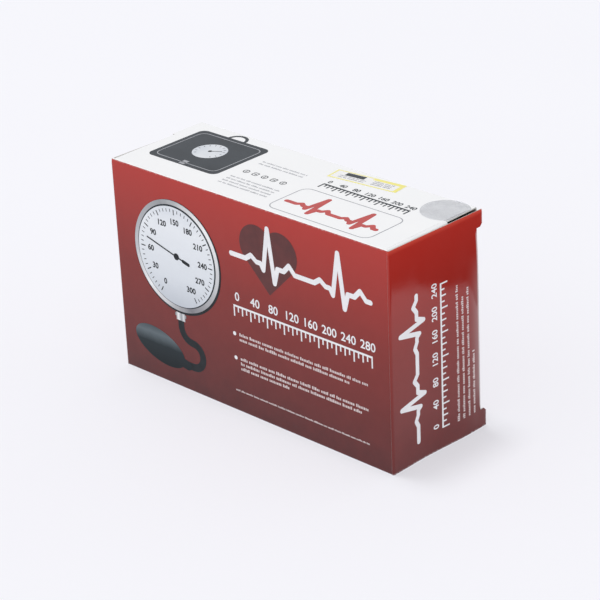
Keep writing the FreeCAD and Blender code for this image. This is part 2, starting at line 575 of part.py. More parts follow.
def post_places():
    """The posts' places in the gauge, as pairs of texts."""
    return [("post_ring * cos(%d deg)" % angle, "post_ring * sin(%d deg)" % angle) for angle in POST_ANGLES]


def rods_in_gauge(name, places, radius, low, height):
    """Equal rods that stand in the gauge."""
    return [rod("%s_%d" % (name, number), in_gauge((across, up, low)), radius, height, GAUGE_TURN)
            for number, (across, up) in enumerate(places, start=1)]


def build_gauge_shell():
    """The gauge's case, stem, bezel, gasket, crystal, dial and pointer."""
    cup = turned_in_gauge("gauge_cup", [
        ("stem_neck + fit_gap", "0"), ("gauge_radius", "0"), ("gauge_radius", "rim_z"), ("gauge_inside", "rim_z"),
        ("gauge_inside", "gauge_floor"), ("stem_neck + fit_gap", "gauge_floor")])
    holes = rods_in_gauge("case_screw_hole", post_places(), "case_screw + fit_gap", "0", "gauge_floor")
    keep(cut("gauge_cup_drilled", cup, group("case_screw_holes", holes)), "gauge_case")

    keep(turned_in_gauge("stem", [
        ("stem_bore", "-stem_reach"), ("tube_bore - fit_gap", "-stem_reach"), ("tube_bore - fit_gap", "0"),
        ("stem_neck", "0"), ("stem_neck", "gauge_floor"), ("stem_flange_radius", "gauge_floor"),
        ("stem_flange_radius", "capsule_z"), ("stem_bore", "capsule_z")]), "gauge_stem")

    skirt = "rim_z - bezel_skirt"
    lip = "crystal_top + fit_gap"
    opening = "bezel_radius - bezel_cover"
    keep(turned_in_gauge("bezel_ring", [
        ("gauge_radius + fit_gap", skirt), ("bezel_radius", skirt), ("bezel_radius", lip),
        ("bezel_radius - bezel_lip", lip + " + bezel_lip"), (opening, lip + " + bezel_lip"), (opening, lip),
        ("gauge_radius + fit_gap", lip)]), "bezel")
    keep(turned_in_gauge("gasket_ring", [
        ("gauge_radius - gasket_width", "rim_z"), ("gauge_radius", "rim_z"), ("gauge_radius", "crystal_z"),
        ("gauge_radius - gasket_width", "crystal_z")]), "crystal_gasket")
    dome_edge = opening + " - fit_gap"
    dome_radius = "((" + dome_edge + ") ^ 2 + crystal_dome ^ 2) / (2 * crystal_dome)"
    keep(turned_in_gauge("crystal_disc", [
        ("0", "crystal_z"), ("gauge_radius", "crystal_z"), ("gauge_radius", "crystal_top"),
        (dome_edge, "crystal_top"), ("0", "crystal_top + crystal_dome")], {3: (dome_radius, -1)}), "crystal")

    keep(disc_in_gauge("dial_disc", "dial_z", "dial", "gauge_inside - dial_gap",
                       [("0", "0", "arbor_radius + dial_gap")]), "dial")

    needle = body("needle", in_gauge(("0", "0", "0")), GAUGE_TURN)
    corners = [("-pointer_root / 2", "pointer_tail"), ("-pointer_root / 2", "pointer_hub / 2"),
               ("-pointer_point / 2", "-pointer_reach"), ("pointer_point / 2", "-pointer_reach"),
               ("pointer_root / 2", "pointer_hub / 2"), ("pointer_root / 2", "pointer_tail")]
    pad(needle, outline(sketch(needle, "XY_Plane", "pointer_z"), corners), "pointer")
    hub = rods_in_gauge("pointer_hub_disc", [("0", "0")], "pointer_hub", "pointer_z", "pointer")
    hole = rods_in_gauge("pointer_hole", [("0", "0")], "arbor_radius", "dial_z", "arbor_top - dial_z")
    keep(cut("pointer_blade", fuse("pointer_solid", [needle] + hub), hole[0]), "pointer")


def build_diaphragm(label, base, way):
    """One rippled half of the pressure capsule. way is 1 for the lower half and -1 for the upper one."""
    rim = base + " + %d * capsule_half" % way
    bends = [("%s * capsule_radius" % share, "%s + %d * %d * ripple" % (base, way, number % 2))
             for number, share in enumerate(RIPPLE_SHARES)]
    outer = [("stem_bore", base)] + bends + [("capsule_radius - capsule_rim", rim + " - %d * diaphragm" % way),
                                             ("capsule_radius", rim + " - %d * diaphragm" % way)]
    inner = [(across, up + " + %d * diaphragm" % way) for across, up in reversed(outer)]
    keep(turned_in_gauge(label + "_profile", outer + inner), label)


def build_gauge_movement():
    """The capsule's push pin tips the rocking shaft, whose upright turns the sector, which turns the pinion."""
    build_diaphragm("lower_diaphragm", "capsule_z", 1)
    build_diaphragm("upper_diaphragm", "capsule_top", -1)
    keep(turned_in_gauge("pin", [
        ("0", "capsule_top"), ("pin_flange_radius", "capsule_top"), ("pin_flange_radius", "capsule_top + pin_flange"),
        ("pin_radius", "capsule_top + pin_flange"), ("pin_radius", "pin_top - pin_cone"), ("pin_tip", "pin_top"),
        ("0", "pin_top")]), "push_pin")

    sector_hole = ("sector_x", "sector_y", "sector_arbor + fit_gap")
    keep(disc_in_gauge("lower_disc", "lower_plate_z", "plate", "plate_radius",
                       [("0", "0", "pin_radius + fit_gap"), sector_hole]), "lower_plate")
    upper = disc_in_gauge("upper_disc", "upper_plate_z", "plate", "plate_radius",
                          [("0", "0", "arbor_radius + fit_gap"), sector_hole])
    stud_ring = "spring_start + (spring_half_turns - 1) * spring_pitch / 2 + spring_band + spring_stud"
    stud = rods_in_gauge("spring_stud_pin", [("-(" + stud_ring + ")", "0")], "spring_stud", "spring_z",
                         "spring_width + spring_gap")
    keep(fuse("upper_plate_solid", [upper] + stud), "upper_plate")

    posts = rods_in_gauge("post", post_places(), "post_radius", "gauge_floor", "lower_plate_z - gauge_floor")
    holes = rods_in_gauge("post_hole", post_places(), "case_screw + fit_gap", "gauge_floor", "case_screw_bite")
    keep(group("posts", [cut("post_drilled_%d" % number, post, hole)
                         for number, (post, hole) in enumerate(zip(posts, holes), start=1)]), "support_posts")
    keep(group("pillars", rods_in_gauge("pillar", post_places(), "pillar_radius", "lower_plate_top",
                                        "upper_plate_z - lower_plate_top")), "plate_pillars")
    shanks = rods_in_gauge("screw_shank", post_places(), "case_screw", "0", "gauge_floor + case_screw_bite - fit_gap")
    heads = rods_in_gauge("screw_head", post_places(), "case_screw_head", "-case_screw_head_height",
                          "case_screw_head_height")
    keep(group("screws", [fuse("case_screw_%d" % number, list(pair))
                          for number, pair in enumerate(zip(shanks, heads), start=1)]), "case_screws")

    shaft_start = "upright_x - upright_width / 2 - shaft_tail"
    shaft = rod("rocker_rod", in_gauge((shaft_start, "-rocker_arm", "rocker_z")), "rocker_shaft",
                "bracket_reach + bracket + shaft_tail - (" + shaft_start + ")", ALONG_Y)
    arm = box("rocker_lever", in_gauge(("-arm_width / 2", "-rocker_arm", "arm_z")),
              "arm_width", "rocker_arm + arm_overhang", "arm_thickness", GAUGE_TURN)
    upright = box("rocker_upright", in_gauge(("upright_x - upright_width / 2",
                                              "-rocker_arm - upright_thickness / 2", "rocker_z")),
                  "upright_width", "upright_thickness", "sector_z + sector - rocker_z", GAUGE_TURN)
    keep(fuse("rocker", [shaft, arm, upright]), "rocking_shaft")

    lugs = []
    for name, across in (("near", "-bracket_offset"), ("far", "bracket_reach")):
        lug = box("bracket_lug_" + name, in_gauge((across, "-rocker_arm - bracket_width / 2", "lower_plate_top")),
                  "bracket", "bracket_width", "rocker_z + bracket_crown - lower_plate_top", GAUGE_TURN)
        hole = rod("bracket_hole_" + name, in_gauge((across, "-rocker_arm", "rocker_z")),
                   "rocker_shaft + fit_gap", "bracket", ALONG_Y)
        lugs.append(cut("bracket_" + name, lug, hole))
    keep(group("brackets", lugs), "rocker_brackets")

    strap = box("bridge_strap", in_gauge(("-bridge_half_span - bridge_post", "-bridge_width / 2", "bridge_z")),
                "2 * (bridge_half_span + bridge_post)", "bridge_width", "bridge", GAUGE_TURN)
    legs = rods_in_gauge("bridge_leg", [("-bridge_half_span", "0"), ("bridge_half_span", "0")], "bridge_post",
                         "lower_plate_top", "bridge_z - lower_plate_top")
    hole = rods_in_gauge("bridge_hole", [("0", "0")], "arbor_radius + fit_gap", "bridge_z", "bridge")
    keep(cut("bridge_drilled", fuse("bridge_solid", [strap] + legs), hole[0]), "pinion_bridge")


def involute(angle):
    return tan(angle) - angle


def tooth(pitch_radius, middle):
    """The corners of one gear tooth about the origin, its middle at an angle in radians."""
    module = value("tooth_module")
    base_radius = pitch_radius * cos(PRESSURE_ANGLE)
    half = (pi * module / 2 - value("tooth_backlash")) / 2 / pitch_radius + involute(PRESSURE_ANGLE)
    foot = pitch_radius - module * value("tooth_foot_share")
    top = pitch_radius + module * value("tooth_top_share")
    flank = []
    for radius in (foot, max(foot, base_radius), pitch_radius, top):
        flank.append((radius, half - involute(acos(min(1, base_radius / radius)))))
    turns = [(radius, middle - away) for radius, away in flank] + [(radius, middle + away)
                                                                   for radius, away in reversed(flank)]
    return [FreeCAD.Vector(radius * cos(angle), radius * sin(angle), 0) for radius, angle in turns]


def plate_from(points, low, thickness):
    """A flat plate on a closed loop of corners, at a height in the gauge."""
    loop = []
    for point in points:
        if not loop or (point - loop[-1]).Length > Part.Precision.confusion() * len(points):
            loop.append(point)
    face = Part.Face(Part.makePolygon(loop + loop[:1]))
    face.translate(FreeCAD.Vector(0, 0, value(low)))
    return face.extrude(FreeCAD.Vector(0, 0, value(thickness)))


def gauge_feature(name, label, shape, at):
    """A sub-part from a finished shape, placed in the gauge."""
    made = doc.addObject("Part::Feature", name)
    made.Shape = shape
    made.Placement = FreeCAD.Placement(FreeCAD.Vector(*[value(text) for text in in_gauge(at)]), GAUGE_TURN)
    return keep(made, label)


def build_gears():
    """The sector on its arbor, in mesh with the pinion on the pointer's arbor, and the flat hairspring."""
    axis = FreeCAD.Vector(0, 0, 1)
    to_pinion = atan2(-value("sector_y"), -value("sector_x"))
    step = 2 * pi / value("sector_teeth")
    points = [FreeCAD.Vector()]
    for number in range(-TEETH_BEHIND, TEETH_AHEAD + 1):
        points += tooth(value("sector_radius"), to_pinion + number * step)
    web = plate_from(points, "sector_z", "sector")
    arbor = Part.makeCylinder(value("sector_arbor"), value("dial_z - lower_plate_z - 2 * fit_gap"),
                              FreeCAD.Vector(0, 0, value("lower_plate_z + fit_gap")), axis)
    hub = Part.makeCylinder(value("sector_hub"), value("sector"), FreeCAD.Vector(0, 0, value("sector_z")), axis)
    tail_length = value("tail_reach + tail_overhang")
    tail = Part.makeBox(tail_length, value("2 * tail_half"), value("sector"),
                        FreeCAD.Vector(-tail_length, -value("tail_half"), value("sector_z")))
    gauge_feature("sector_wheel", "sector_gear", web.multiFuse([arbor, hub, tail]).removeSplitter(),
                  ("sector_x", "sector_y", "0"))

    teeth = int(value("pinion_teeth"))
    points = []
    for number in range(teeth):
        points += tooth(value("pinion_radius"), to_pinion + pi + (number + 0.5) * 2 * pi / teeth)
    wheel = plate_from(points, "sector_z - pinion_overhang", "sector + 2 * pinion_overhang")
    arbor = Part.makeCylinder(value("arbor_radius"), value("arbor_top - bridge_z - fit_gap"),
                              FreeCAD.Vector(0, 0, value("bridge_z + fit_gap")), axis)
    gauge_feature("pinion_wheel", "pinion_arbor", wheel.fuse(arbor).removeSplitter(), ("0", "0", "0"))

    half_step = value("spring_pitch") / 2
    walls = {1: [], -1: []}
    for number in range(int(value("spring_half_turns"))):
        way = 1 if number % 2 == 0 else -1
        centre = FreeCAD.Vector(0 if way == 1 else half_step, 0, 0)
        for wall, run in walls.items():
            arm = way * (value("spring_start") + number * half_step + wall * value("spring_band") / 2)
            out = FreeCAD.Vector(arm, 0, 0)
            run.append(Part.Arc(centre + out, centre + FreeCAD.Vector(0, arm, 0), centre - out))
    closing = [Part.LineSegment(walls[1][0].StartPoint, walls[-1][0].StartPoint),
               Part.LineSegment(walls[1][-1].EndPoint, walls[-1][-1].EndPoint)]
    edges = [curve.toShape() for curve in walls[1] + walls[-1] + closing]
    band = Part.Face(Part.Wire(Part.__sortEdges__(edges)))
    band.translate(FreeCAD.Vector(0, 0, value("spring_z")))
    gauge_feature("hairspring_band", "hairspring", band.extrude(FreeCAD.Vector(0, 0, value("spring_width"))),
                  ("0", "0", "0"))
    print("gear centres", round(hypot(value("sector_x"), value("sector_y")), 4),
          "mesh angle", round(degrees(to_pinion), 2))


def check_and_write():
    """Stop on any failed object, then write each sub-part to its own file."""
    doc.recompute()
    for item in doc.Objects:
        if "Invalid" in item.State or "Error" in item.State:
            raise RuntimeError("failed object: " + item.Label)
    for item in subparts:
        if item.Shape.isNull() or not item.Shape.isValid() or not item.Shape.Solids:
            raise RuntimeError("bad shape: " + item.Label)
    os.makedirs("parts", exist_ok=True)
    for item in subparts:
        item.Shape.exportStep("parts/%s.step" % item.Label)
    print(len(subparts), "sub-parts written")


build_carton_sleeve()
build_carton_end("right", 1)
build_carton_end("left", -1)
build_stickers()
build_cuff()
build_case()
build_bulb()
build_tubes()
build_gauge_shell()
build_gauge_movement()
build_gears()
check_and_write()
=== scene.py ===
import contextlib
import json
import math
import random

import bmesh
import bpy
from mathutils import Matrix, Vector


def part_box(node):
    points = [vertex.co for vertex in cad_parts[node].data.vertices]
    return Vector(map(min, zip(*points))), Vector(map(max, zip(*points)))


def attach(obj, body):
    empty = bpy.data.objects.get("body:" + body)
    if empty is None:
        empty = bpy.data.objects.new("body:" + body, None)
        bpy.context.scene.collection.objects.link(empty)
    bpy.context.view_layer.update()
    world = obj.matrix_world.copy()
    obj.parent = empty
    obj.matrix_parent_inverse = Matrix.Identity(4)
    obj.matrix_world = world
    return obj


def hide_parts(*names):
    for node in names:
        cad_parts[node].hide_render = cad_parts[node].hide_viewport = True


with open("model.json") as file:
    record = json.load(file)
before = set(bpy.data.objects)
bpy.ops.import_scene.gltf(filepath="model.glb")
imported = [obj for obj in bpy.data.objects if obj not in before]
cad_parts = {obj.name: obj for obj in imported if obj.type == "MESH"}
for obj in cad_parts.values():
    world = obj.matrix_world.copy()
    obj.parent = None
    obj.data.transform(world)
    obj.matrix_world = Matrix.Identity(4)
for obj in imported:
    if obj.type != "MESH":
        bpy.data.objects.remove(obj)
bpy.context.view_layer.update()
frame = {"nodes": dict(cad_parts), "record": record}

# A boxed sphygmomanometer: a printed tuck-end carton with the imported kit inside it.
# Lengths in tables and calls are millimetres, and MM turns them into the frame's metres.
MM = 0.001
nodes = frame["nodes"]
SIDES = (("right", 1), ("left", -1))
UP, DOWN, BACK, FORE = (0, 0, 1), (0, 0, -1), (0, 1, 0), (0, -1, 0)


def mm_box(node):
    """A frame node's lowest and highest corner, in millimetres."""
    low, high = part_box(node)
    return low / MM, high / MM


front_low, front_high = mm_box("front_panel")
right_low, right_high = mm_box("right_closure_panel")
left_low = mm_box("left_closure_panel")[0]
back_high = mm_box("back_panel")[1]
BOARD = front_high.y - front_low.y
HALF = BOARD / 2
CARTON_LOW = Vector((left_low.x, front_low.y, front_low.z))
CARTON_HIGH = Vector((right_high.x, back_high.y, front_high.z))
CARTON = CARTON_HIGH - CARTON_LOW


# Working by hand: selecting, shaping and finishing.

def rest():
    """Leave edit mode and let go of everything."""
    if bpy.context.object and bpy.context.object.mode == "EDIT":
        bpy.ops.object.mode_set(mode="OBJECT")
    bpy.ops.object.select_all(action="DESELECT")


def hold(piece):
    """Make one piece the only thing that is selected."""
    rest()
    piece.select_set(True)
    bpy.context.view_layer.objects.active = piece
    return piece


def settle(piece):
    """Put a piece's place, turn and scale into its mesh."""
    hold(piece)
    bpy.ops.object.transform_apply(location=True, rotation=True, scale=True)
    return piece


def added(name):
    """The object that was just added, under its name."""
    piece = bpy.context.object
    piece.name = name
    return piece


def shape(piece, mode="EDGE"):
    """Go into edit mode on a piece."""
    hold(piece)
    bpy.ops.object.mode_set(mode="EDIT")
    bpy.ops.mesh.select_mode(type=mode)


def take_all():
    """Select the whole mesh in edit mode."""
    bpy.ops.mesh.select_all(action="SELECT")


def pick(piece, test, mode="EDGE"):
    """Select the vertices, boundary edges or faces whose middle, in millimetres, passes a test."""
    bpy.ops.mesh.select_all(action="DESELECT")
    mesh = bmesh.from_edit_mesh(piece.data)
    for item in {"VERT": mesh.verts, "EDGE": mesh.edges, "FACE": mesh.faces}[mode]:
        corners = [item] if mode == "VERT" else item.verts
        middle = sum((corner.co for corner in corners), Vector()) / len(corners) / MM
        if test(middle) and not (mode == "EDGE" and not item.is_boundary):
            item.select_set(True)
    bmesh.update_edit_mesh(piece.data)


def modify(piece, kind, **settings):
    """Add a modifier and apply it."""
    hold(piece)
    modifier = piece.modifiers.new(kind.lower(), kind)
    for name, setting in settings.items():
        setattr(modifier, name, setting)
    bpy.ops.object.modifier_apply(modifier=modifier.name)
    return piece


def smooth(piece, degrees=35):
    """Shade a piece smooth, apart from edges sharper than an angle."""
    hold(piece)
    bpy.ops.object.shade_smooth_by_angle(angle=math.radians(degrees))
    return piece


def round_out(piece, degrees):
    """Subdivide a piece once and shade it smooth."""
    modify(piece, "SUBSURF", levels=1, render_levels=1)
    return smooth(piece, degrees)


def soften(edge, segments):
    """Bevel the selected edges."""
    bpy.ops.mesh.bevel(offset=edge * MM, segments=segments, affect="EDGES")


def close_up(merge=0.0):
    """Turn all faces of the mesh in edit mode outwards, after doubles within a distance are merged."""
    take_all()
    if merge:
        bpy.ops.mesh.remove_doubles(threshold=merge * MM)
    bpy.ops.mesh.normals_make_consistent(inside=False)
    rest()


def dress(piece, finishes):
    """Give a piece its materials, in order of its slots."""
    piece.data.materials.clear()
    for finish in finishes:
        piece.data.materials.append(finish)
    return piece


def fit(piece, body, slot, *replaced):
    """Let a finished piece ride on a body, in place of frame nodes."""
    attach(piece, body)
    if replaced:
        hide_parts(*replaced)
    return piece


def stow(piece, finish, slot, *replaced):
    """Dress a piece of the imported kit, and let it ride with the carton."""
    dress(piece, [finish])
    return fit(piece, "carton", slot, *replaced)


# Node trees.

def add(tree, kind, inputs=None, **settings):
    """Add a node. inputs maps a socket's name or number to a value or to another node's output."""
    made = tree.nodes.new("ShaderNode" + kind)
    for name, setting in settings.items():
        setattr(made, name, setting)
    for name, value in (inputs or {}).items():
        if isinstance(value, bpy.types.NodeSocket):
            tree.links.new(value, made.inputs[name])
        else:
            made.inputs[name].default_value = value
    return made


def feed(inputs, **outputs):
    """Lead outputs into the inputs of a surface or of a group's end, by name."""
    for name, output in outputs.items():
        output.id_data.links.new(output, inputs[name.replace("_", " ")])


def calc(tree, operation, first, second=0.0):
    return add(tree, "Math", {0: first, 1: second}, operation=operation).outputs[0]


def times(tree, first, *others):
    """Multiply values and outputs."""
    for other in others:
        first = calc(tree, "MULTIPLY", first, other)
    return first


def between(tree, operation, first, second):
    """A vector worked out from two vectors."""
    return add(tree, "VectorMath", {0: first, 1: second}, operation=operation).outputs[0]


def mix(tree, share, first, second):
    """Mix two colours, each of them three numbers or another node's output."""
    tones = [(*tone, 1) if isinstance(tone, tuple) else tone for tone in (first, second)]
    return add(tree, "Mix", {0: share, 6: tones[0], 7: tones[1]}, data_type="RGBA").outputs[2]


def ramp(tree, share, stops):
    """Colours along a share, each stop (place, colour)."""
    made = add(tree, "ValToRGB", {0: share})
    band = made.color_ramp.elements
    while len(band) < len(stops):
        band.new(0.5)
    for element, (place, colour) in zip(band, stops):
        element.position = place
        element.color = (*colour, 1)
    return made.outputs[0]


def spread(tree, value, low, high, to_low=0.0, to_high=1.0):
    return add(tree, "MapRange", {0: value, 1: low, 2: high, 3: to_low, 4: to_high}).outputs[0]


def reach(tree, value, start, end):
    """0 to 1 from one place to another, in millimetres."""
    return spread(tree, value, start * MM, end * MM)


def mottled(tree, value, low=0.0, high=1.0):
    """The middle range of a noise, spread from low to high."""
    return spread(tree, value, 0.3, 0.7, low, high)


def object_point(tree):
    return add(tree, "TexCoord").outputs["Object"]


def axes(tree, vector=None):
    """A vector's X, Y and Z: the Object coordinates unless another is given."""
    return add(tree, "SeparateXYZ", {0: vector or object_point(tree)}).outputs


def noise(tree, point, scale, detail=2.0, rough=0.5):
    inputs = {"Vector": point, "Scale": scale, "Detail": detail, "Roughness": rough}
    return add(tree, "TexNoise", inputs).outputs[0]


def bump(tree, height, depth, strength):
    """A normal from a height: depth is its distance in millimetres."""
    return add(tree, "Bump", {"Height": height, "Distance": depth * MM, "Strength": strength}).outputs[0]


def effect(name, outputs, **inputs):
    """An empty node group: (tree, the sockets of its input node, the sockets of its output node)."""
    tree = bpy.data.node_groups.new(name, "ShaderNodeTree")
    for socket, value in inputs.items():
        kind = "NodeSocketVector" if isinstance(value, tuple) else "NodeSocketFloat"
        made = tree.interface.new_socket(socket.replace("_", " "), in_out="INPUT", socket_type=kind)
        made.default_value = value
    for socket in outputs:
        tree.interface.new_socket(socket, in_out="OUTPUT", socket_type="NodeSocketFloat")
    return tree, tree.nodes.new("NodeGroupInput").outputs, tree.nodes.new("NodeGroupOutput").inputs


def use(tree, group, **inputs):
    """Place an effect in a material and return its outputs."""
    named = {name.replace("_", " "): value for name, value in inputs.items()}
    return add(tree, "Group", named, node_tree=group).outputs


def finish_of(name, **sockets):
    """A material whose plain sockets are set by name: (material, tree, surface inputs)."""
    made = bpy.data.materials.new(name)
    made.use_nodes = True
    surface = made.node_tree.nodes["Principled BSDF"].inputs
    for socket, value in sockets.items():
        surface[socket.replace("_", " ")].default_value = value
    return made, made.node_tree, surface


def make_board_grain():
    """Fine fibre under varnish, and the broad unevenness of ink on board."""
    tree, given, out = effect("board grain", ["Fibre", "Mottle"], Fibre_Scale=2400.0, Mottle_Scale=110.0)
    point = object_point(tree)
    feed(out, Fibre=noise(tree, point, given["Fibre Scale"], 3.0),
         Mottle=noise(tree, point, given["Mottle Scale"], 3.0, 0.6))
    return tree


def make_edge_scuff():
    """A mask of worn specks along the edges of a box of space."""
    tree, given, out = effect("edge scuff", ["Mask"], Low=(0, 0, 0), High=(1, 1, 1), Width=MM,
                              Speck_Scale=700.0)
    point = object_point(tree)
    above = between(tree, "SUBTRACT", point, given["Low"])
    below = between(tree, "SUBTRACT", given["High"], point)
    away = axes(tree, between(tree, "MINIMUM", above, below))
    nearest = calc(tree, "MINIMUM", calc(tree, "MINIMUM", away[0], away[1]), away[2])
    inward = calc(tree, "DIVIDE", calc(tree, "MAXIMUM", nearest, 0.0), given["Width"])
    edge = calc(tree, "MAXIMUM", calc(tree, "SUBTRACT", 1.0, inward), 0.0)
    speck = spread(tree, noise(tree, point, given["Speck Scale"], 4.0, 0.65), 0.42, 0.68)
    feed(out, Mask=calc(tree, "MINIMUM", times(tree, edge, speck), 1.0))
    return tree


board_grain = make_board_grain()
edge_scuff = make_edge_scuff()

# Printed board: red ink that fades to maroon, coated white, grey back and cut edge.
VARNISH = (0.04, 0.12)
GLOSS = 0.37
DARK_GLOSS = 0.16
END_GLOSS = 0.44
RED = (0.43, 0.025, 0.017)
RED_MIDDLE = (0.21, 0.016, 0.012)
MIDDLE_AT = 0.55
MAROON = (0.078, 0.011, 0.011)
RED_BLOTCH = (0.5, 0.06, 0.05)
PAPER = (0.935, 0.94, 0.95)
PAPER_SHADE = (0.905, 0.91, 0.925)
SCUFF = 0.55
SCUFF_WIDTH = 0.9
FAR = 1000

# The end panels' top edge, ears and tuck fold, and their ink: painted light on it (a painted sheen over the
# whole end, a painted highlight along the curled top edge, a painted reflection beside the tuck fold) and the
# real wear of the ink on the fold.
TOP_DROP = 1.3
HEAD_GAP = 0.15
LIP = 0.3
LIP_DEPTH = 2.4
# Painted highlight along the curled top edge of the end panels: the depth where it is full, its share and its
# colour.
LIP_HIGHLIGHT_FULL = 0.4
LIP_HIGHLIGHT_SHARE = 0.75
LIP_HIGHLIGHT_RED = (0.66, 0.075, 0.05)
EAR = 10.5
TUCK_ROOT = CARTON_HIGH.y - BOARD - 1.2
# Painted sheen: how far the whole end's ink is mixed towards the top's red.
END_SHEEN = 0.12
# Painted reflection beside the tuck fold: its strength, and its runs across, above and below, in millimetres.
REAR_REFLECTION = 0.14
REAR_REFLECTION_ACROSS = (20, 31)
REAR_REFLECTION_ABOVE = (98, 78)
REAR_REFLECTION_BELOW = (13, 26)
BARE = 0.5
BARE_ACROSS = (TUCK_ROOT - 0.9, TUCK_ROOT - 0.2)
BARE_OUTSIDE = (right_high.x - 0.3, right_high.x + 0.2)


def varnish(tree, surface, grain):
    """Varnish lies a little unevenly on the fibre below it."""
    feed(surface, Normal=bump(tree, grain["Fibre"], 0.02, 0.35),
         Roughness=mottled(tree, grain["Mottle"], *VARNISH))


def red_fade(tree):
    """The ink's colour by height on the carton."""
    share = reach(tree, axes(tree)["Z"], CARTON_LOW.z, CARTON_HIGH.z)
    return ramp(tree, share, [(0.0, MAROON), (MIDDLE_AT, RED_MIDDLE), (1.0, RED)])


def end_wear(tree, inked):
    """The ink of an end panel with painted light on it: a painted sheen towards the top's red over the whole
    end, a painted highlight along the curled top edge and a painted reflection beside the tuck fold. The ink
    is worn on the fold itself."""
    at = axes(tree)
    sunk = times(tree, calc(tree, "SUBTRACT", at["Y"], right_low.y * MM), TOP_DROP / CARTON.y)
    head = calc(tree, "SUBTRACT", (right_high.z - HEAD_GAP) * MM, sunk)
    # Painted highlight along the curled top edge.
    lip_highlight = reach(tree, calc(tree, "SUBTRACT", head, at["Z"]), LIP_DEPTH, LIP_HIGHLIGHT_FULL)
    # Painted sheen over the whole end.
    sheened = mix(tree, END_SHEEN, inked, RED)
    highlit = mix(tree, times(tree, lip_highlight, LIP_HIGHLIGHT_SHARE), sheened, LIP_HIGHLIGHT_RED)
    # Painted reflection beside the tuck fold.
    strip = reach(tree, at["Y"], *REAR_REFLECTION_ACROSS)
    painted_reflection = times(tree, strip, strip, reach(tree, at["Z"], *REAR_REFLECTION_ABOVE),
                   reach(tree, at["Z"], *REAR_REFLECTION_BELOW), REAR_REFLECTION)
    bare = times(tree, reach(tree, at["Y"], *BARE_ACROSS), BARE)
    for ear, inward in ((EAR, 1), (CARTON.z - EAR, -1)):
        bare = times(tree, bare, reach(tree, at["Z"], ear + inward, ear + 3 * inward))
    bare = times(tree, bare, reach(tree, calc(tree, "ABSOLUTE", at["X"]), *BARE_OUTSIDE))
    return mix(tree, calc(tree, "MAXIMUM", painted_reflection, bare), highlit, PAPER)


def red_board(name, low, high, is_end=False):
    """Red board whose ink is worn along the edges of the box from low to high, in millimetres."""
    made, tree, surface = finish_of(name, Specular_IOR_Level=END_GLOSS if is_end else GLOSS)
    grain = use(tree, board_grain)
    inked = mix(tree, spread(tree, grain["Mottle"], 0.35, 0.75, 0.0, 0.05), red_fade(tree), RED_BLOTCH)
    # An end panel's ink also carries painted light: a painted sheen, a painted highlight along its curled top
    # edge and a painted reflection beside the tuck fold.
    if is_end:
        inked = end_wear(tree, inked)
    worn = use(tree, edge_scuff, Low=Vector(low) * MM, High=Vector(high) * MM, Width=SCUFF_WIDTH * MM)
    feed(surface, Base_Color=mix(tree, times(tree, worn["Mask"], SCUFF), inked, PAPER))
    varnish(tree, surface, grain)
    return made


def white_board():
    made, tree, surface = finish_of("coated white board", Specular_IOR_Level=GLOSS)
    grain = use(tree, board_grain, Mottle_Scale=60.0)
    feed(surface, Base_Color=mix(tree, grain["Mottle"], PAPER, PAPER_SHADE))
    varnish(tree, surface, grain)
    return made


def grey_back():
    """The uncoated inside of recycled board, flecked with darker fibre."""
    made, tree, surface = finish_of("grey board back", Roughness=0.85)
    grain = use(tree, board_grain, Fibre_Scale=1500.0)
    fleck = spread(tree, noise(tree, object_point(tree), 900.0, 5.0, 0.75), 0.58, 0.7)
    pulp = mix(tree, grain["Mottle"], (0.50, 0.475, 0.435), (0.60, 0.575, 0.535))
    feed(surface, Base_Color=mix(tree, times(tree, fleck, 0.5), pulp, (0.27, 0.25, 0.23)),
         Normal=bump(tree, grain["Fibre"], 0.05, 0.5))
    return made


def coat(name, first, second, rough, depth, strength, share="Mottle", **grain_scales):
    """Pulp, paper or paint: two near tones over a fine grain, mixed by its fibre or its mottle."""
    made, tree, surface = finish_of(name, Roughness=rough)
    grain = use(tree, board_grain, **grain_scales)
    feed(surface, Base_Color=mix(tree, grain[share], first, second),
         Normal=bump(tree, grain["Fibre"], depth, strength))
    return made


coated = white_board()
pulp_back = grey_back()
pulp_edge = coat("cut board edge", (0.47, 0.46, 0.44), (0.68, 0.67, 0.65), 0.8, 0.04, 0.6, "Fibre",
                 Fibre_Scale=3800.0)

# The carton's boards: sheets that roll over each crease, thickened to the board's gauge.
FOLD = 0.7
END_FOLD = 0.75
FLAP_FOLD = 1.6
FOLD_STEPS = 5
SLIT = 0.006
HOLD = 0.6
RELIEF_FROM = 11
RELIEF_DEPTH = 2.6


def flat_sheet(name, low, high, facing):
    """A flat sheet between two corners, level on one axis. facing is the way its printed side looks."""
    low, high = Vector(low), Vector(high)
    span = high - low
    turn, size = (0, 0, 0), (span.x, span.y, 1)
    if span.x == 0:
        turn, size = (0, math.pi / 2, 0), (span.z, span.y, 1)
    elif span.y == 0:
        turn, size = (math.pi / 2, 0, 0), (span.x, span.z, 1)
    rest()
    bpy.ops.mesh.primitive_plane_add(size=MM, location=(low + high) / 2 * MM, rotation=turn)
    piece = added(name)
    piece.scale = size
    settle(piece)
    if piece.data.polygons[0].normal.dot(Vector(facing)) < 0:
        shape(piece)
        take_all()
        bpy.ops.mesh.flip_normals()
    rest()
    return piece


def arc_steps(first, second, radius, degrees, count=FOLD_STEPS):
    """Steps along an arc that starts in one direction and turns towards another."""
    first, second = Vector(first), Vector(second)
    turns = [math.radians(degrees) * number / count for number in range(count + 1)]
    points = [(first * math.sin(turn) + second * (1 - math.cos(turn))) * radius for turn in turns]
    return [after - before for before, after in zip(points, points[1:])]


def roll(piece, test, steps):
    """Draw out the boundary edges that pass a test along steps in millimetres."""
    shape(piece)
    pick(piece, test)
    for step in steps:
        bpy.ops.mesh.extrude_edges_move(TRANSFORM_OT_translate={"value": Vector(step) * MM})
    rest()


